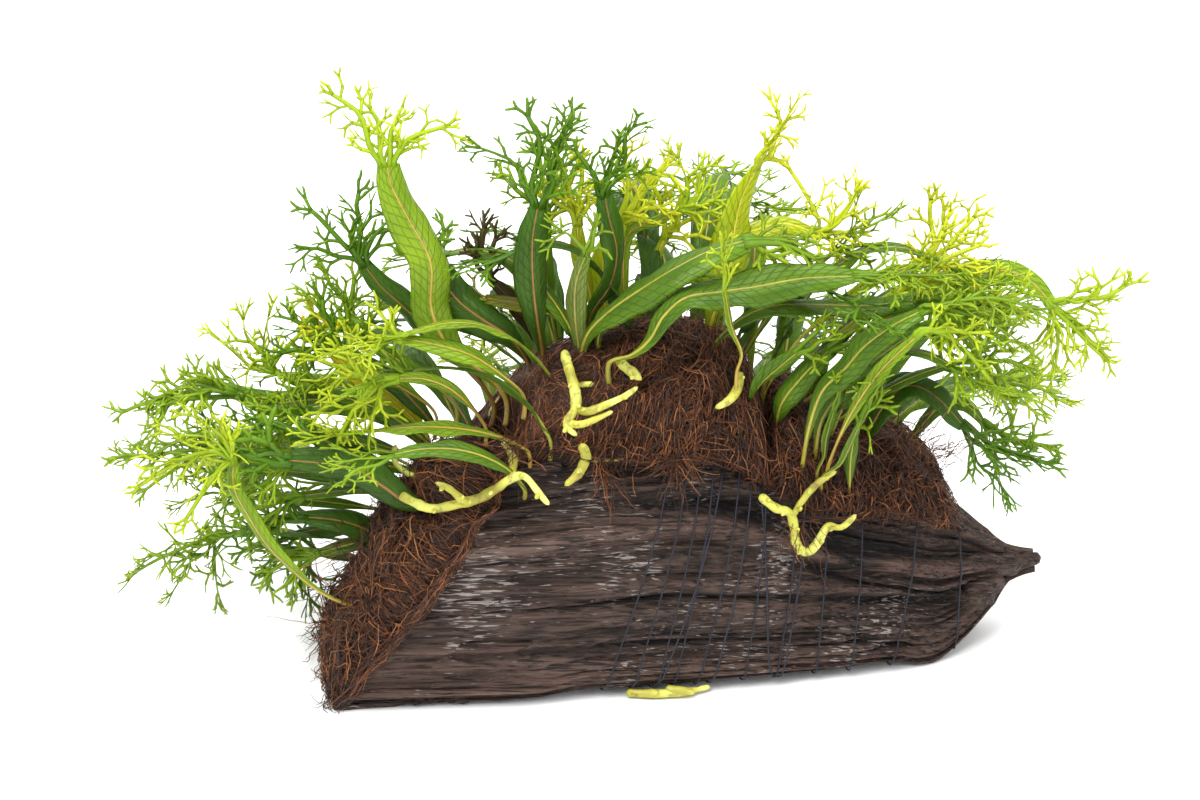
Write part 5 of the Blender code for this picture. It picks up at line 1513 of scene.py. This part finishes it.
def add_blade(skin, rng, path, run, look, wide, stalk, tone):
    """A leaf's blade and its midrib. Each row across is a closed ring: half_wide to each side, arched back
    from its face, its margins waving in and out of the plane, pushed up between the side veins, and as thick
    as a card that thins out to the margin."""
    t = run / run[-1]
    forward = unit(np.gradient(path, axis=0))
    face = squared(np.broadcast_to(look, forward.shape), forward)
    for _ in range(4):
        face[1:-1] = unit(face[1:-1] + face[:-2] + face[2:])
    face = squared(face, forward)
    twist = rng.uniform(-0.5, 0.5) * np.sin(math.pi * t) + 0.8 * (noise(run / 34, rng.uniform(0, 90), 51)
        - 0.5)
    face = turned(face, forward, twist)
    across = np.cross(forward, face)
    rise = 1 - stalk
    knots = [(0, 0.09), (stalk * 0.55, 0.13), (stalk, 0.36), (stalk + 0.18 * rise, 0.72),
        (stalk + 0.40 * rise, 0.98),
             (stalk + 0.62 * rise, 1.0), (stalk + 0.82 * rise, 0.82), (1, 0.50)]
    places, shares = zip(*knots)
    profile = np.interp(t, places, shares)
    for _ in range(6):
        profile[1:-1] = (profile[:-2] + profile[1:-1] * 2 + profile[2:]) / 4
    c = np.linspace(-1, 1, BLADE_COLUMNS)
    c = np.sign(c) * np.abs(c) ** 0.9
    size = np.abs(c)[None]
    side = np.where(c < 0, 0.0, 37.0)[None]
    half = profile[:, None] * wide / 2 * (1
        + 0.20 * (noise(run[:, None] / 7, side + rng.uniform(0, 90), 52) - 0.5))
    s = run[:, None]
    start = rng.uniform(0, 90)
    wave = 2 * (noise(s / 6.5, side + start, 53) - 0.5) * profile[:, None] ** 1.5 * min(1.7,
        0.16 * wide) * size**2.4
    arch = -rng.uniform(0.05, 0.42) * half * size**1.7
    vein = np.abs(np.sin(math.pi * (s * 0.30 - size * 1.9)))
    swell = 0.30 * vein * (1 - size**6) * np.clip(size * 6, 0, 1) * profile[:, None] ** 0.7 * min(1, wide / 8)
    gutter = -0.35 * np.exp(-((size * half / 0.9) ** 2))
    height = wave + arch + swell + gutter
    thick = 0.19 * (1 - size**5) + 0.05
    middle = path[:, None] + across[:, None] * (half * c[None])[..., None]
    top = middle + face[:, None] * (height + thick)[..., None]
    under = middle + face[:, None] * (height - thick)[..., None]
    ring = np.concatenate([top, under[:, -2:0:-1]], axis=1)[None]
    low, high, rib, veil = tone["low"], tone["high"], tone["rib"], tone["crest"][0]
    patch = noise(s / 9 + side, c[None] * 2 + start, 54)[..., None]
    share = np.clip(0.15 + 0.75 * patch + 0.25 * (t[:, None, None] - 0.5), 0, 1)
    tint = low * (1 - share) + high * share
    tip = ease(0.80, 1.0, t)[:, None, None]
    tint = tint * (1 - tip) + veil * tip
    base = ease(stalk * 1.2, 0, t)[:, None, None]
    tint = tint * (1 - base * 0.8) + rib * base * 0.8
    edge = (size**8)[..., None] * 0.30
    tint = tint * (1 - edge) + veil * 1.1 * edge
    tint = np.concatenate([tint, tint[:, -2:0:-1] * 0.95 + 0.012], axis=1)[None]
    u = np.broadcast_to((c + 1) / 2, top.shape[:2])
    place = np.stack([u, np.broadcast_to(s / 100, u.shape)], axis=-1)
    place = np.concatenate([place, place[:, -2:0:-1]], axis=1)[None]
    skin.add_rings(ring, tint, place)
    thin = (0.80 + (0.26 - 0.80) * np.clip(t * 1.1, 0, 1) ** 0.7) * (0.6 + 0.4 * min(1, wide / 9))
    stem = path - face * 0.10
    streak = 0.85 + 0.3 * noise(s / 5, start, 55)
    ring = rings(stem[None], across[0], thin[None], thin[None] * 0.9, 7)
    skin.add_rings(ring, (rib * streak)[None, :, None], (0.5, 0.0), STALK_KIND)
    return forward, face, profile[-1] * wide / 2


def kept_in(points):
    """Points of a leaf, those that reach far out drawn in: it lies on the ground, not under it, and keeps
    within the room that the plant takes up."""
    points = points.reshape(-1, 3).copy()
    low = points[:, 2] < LOW
    points[low, 2] = 0.15 + (LOW - 0.15) * np.exp(np.maximum((points[low, 2] - LOW) / (LOW - 0.15), -8))
    out = points[:, 1] - ORIGIN[1]
    far = np.abs(out) > DEEP
    points[far, 1] = ORIGIN[1] + np.sign(out[far]) * (DEEP + 9 * np.tanh((np.abs(out[far]) - DEEP) / 12))
    return points


def make_leaf(name, leaf, seed, kept=None):
    """A whole leaf from its row in the table, drawn onto its CAD piece where it has one."""
    wide, stalk, look, midrib, tips = leaf
    rng = np.random.default_rng(seed)
    points, ends = pin(midrib), pin(tips)
    if kept:
        tree = tree_of(kept)
        held = []
        for k, point in enumerate(np.concatenate([points, ends])):
            near = tree.find_nearest(to_frame(point), 0.009)[0] if k else None
            held.append(point if near is None else from_frame(near))
        points, ends = np.array(held[: len(points)]), np.array(held[len(points) :])
    build_leaf(name, rng, points, ends, wide, stalk, np.array(FACING[look], float),
        TONES[TONE_OF.get(name, "mid")], kept)


def build_leaf(name, rng, points, ends, wide, stalk, look, tone, kept=None, apart=3.4):
    """A leaf along the points of its midrib, rooted a little way into the mats, with a crest that reaches for
    ends. apart is the space between the straps of a crest's arm, and kept the CAD piece that it stands
    for."""
    inward = np.array([np.clip(points[0, 0], *ROOT_SPAN), 5.0, 35.0]) - points[0]
    points = np.concatenate([points[:1] + unit(inward) * ROOTED, points])
    _, length = even_path(points, [0, 1])
    rows = int(length / BLADE_STEP) + 8
    path, _ = even_path(points, np.linspace(0, 1, rows))
    run = np.linspace(0, length, rows)
    skin = Skin()
    forward, face, half = add_blade(skin, rng, path, run, look, wide, stalk, tone)
    add_crest(skin, rng, path[-1], forward[-1], face[-1], half, ends, tone["crest"], apart)
    skin.points = [kept_in(part) for part in skin.points]
    finishes = [FINISHES[tone["glow"]], FINISHES["stalk"]]
    skin.piece(name, "leaf", finishes, (kept,) if kept else ())


def make_arching(k, station, place, depth, azimuth, climb, length, wide, tone):
    """A leaf of the plant's back or of its thick middle: it climbs out of a mat and arches over, a parabola
    of height climb over its length, towards azimuth (0 is the front, 90 the right end)."""
    rng = np.random.default_rng(900 + k)
    angle = math.radians(azimuth)
    way = np.array([math.sin(angle), -math.cos(angle), 0.0])
    aside = np.array([math.cos(angle), math.sin(angle), 0.0])
    start = log_points(np.array([float(station)]), np.array([float(place)]), np.array([float(depth)]))[0]
    t = np.linspace(0, 1, 7)[:, None]
    drift = rng.uniform(-0.15, 0.15) * length
    points = start + way * length * 0.82 * t**1.25 + np.array([0, 0, climb]) * (2.6 * t
        - 1.6 * t**2.0) + aside * drift * t**2
    ahead = unit(points[-1] - points[-2])
    side = unit(np.cross(ahead, way + np.array([0, 0, 0.8])))
    spread = np.radians(np.array([-34.0, 2.0, 33.0]) + rng.normal(0, 6, 3))
    ends = points[-1] + (ahead * np.cos(spread)[:, None]
        + side * np.sin(spread)[:, None]) * rng.uniform(13, 20, (3, 1))
    look = way * 0.45 + np.array([0, 0, 1.0])
    build_leaf(f"leaf_arching_{k}", rng, points, ends, wide, 0.28, look, TONES[tone], None, ARCHING_APART)


# ---------------------------------------------------------------- the studio
def make_floor():
    """A pale sheet that the plant stands on."""
    mesh = bpy.data.meshes.new("floor")
    reach = 4.0
    corners = [(-reach, -reach, 0), (reach, -reach, 0), (reach, reach, 0), (-reach, reach, 0)]
    mesh.from_pydata(corners, [], [(0, 1, 2, 3)])
    made, base = finish("pale_floor")
    spot = base.node("TexCoord", output=3)
    colour = base.node("ValToRGB", {"stops": [(0.3, (0.93, 0.93, 0.93)), (0.7, (0.96, 0.96, 0.96))]},
        {0: spot.grain(3.0)})
    close(base, surface(base, Base_Color=colour, Roughness=0.5))
    mesh.materials.append(made)
    floor = bpy.data.objects.new("floor", mesh)
    bpy.context.scene.collection.objects.link(floor)


def aimed(thing, place, target):
    """Puts a camera or a light at place, looking at target, in metres."""
    made = bpy.data.objects.new(thing.name, thing)
    made.location = place
    made.rotation_euler = (Vector(target) - Vector(place)).to_track_quat("-Z", "Y").to_euler()
    bpy.context.scene.collection.objects.link(made)
    return made


def make_light(name, place, size, power, colour=(1, 1, 1)):
    light = bpy.data.lights.new(name, "AREA")
    light.size = size
    light.energy = power
    light.color = colour
    aimed(light, place, (0, 0, 0.07))


def make_studio():
    make_floor()
    make_light("key", (-0.7, -0.9, 1.5), 0.9, 26)
    make_light("top", (0.25, 0.15, 1.7), 1.4, 26)
    make_light("fill", (1.3, -0.8, 0.8), 1.0, 9)
    make_light("back", (-0.5, 1.3, 1.0), 1.2, 12)
    world = bpy.data.worlds.new("white_room")
    world.use_nodes = True
    world.node_tree.nodes["Background"].inputs["Color"].default_value = (1, 1, 1, 1)
    world.node_tree.nodes["Background"].inputs["Strength"].default_value = WORLD_STRENGTH
    bpy.context.scene.world = world
    lens = bpy.data.cameras.new("camera")
    lens.lens = 90
    lens.sensor_width = 36
    lens.clip_end = 20
    bpy.context.scene.camera = aimed(lens, to_frame(CAMERA_PLACE), to_frame(CAMERA_TARGET))
    bpy.context.scene.view_settings.view_transform = "Standard"
    bpy.context.scene.view_settings.look = "None"


# ---------------------------------------------------------------- the whole plant
make_studio()
wood, fibre, felt, stem = wood_finish(), fibre_finish(), felt_finish(), rhizome_finish()
FINISHES = {name: leaf_finish("fern_leaf_" + name, glow) for name, glow in GLOWS.items()}
FINISHES["stalk"] = stalk_finish()
sawn = SawnEnd()
RHIZOME_LINES = [line for name in RHIZOMES for line in rhizome_lines(name)]
make_log(wood)
make_mat_cores(felt, sawn)
make_fibres(fibre, sawn)
make_rhizomes(stem)
make_thread(thread_finish())
for number, (leaf_name, row) in enumerate(LEAVES.items()):
    make_leaf(leaf_name.replace("leaf", "fern"), row, 100 + number, leaf_name)
for number, (leaf_name, row) in enumerate(MORE_LEAVES.items()):
    make_leaf(leaf_name, row, 300 + number)
for number, row in enumerate(ARCHING):
    make_arching(number, *row)
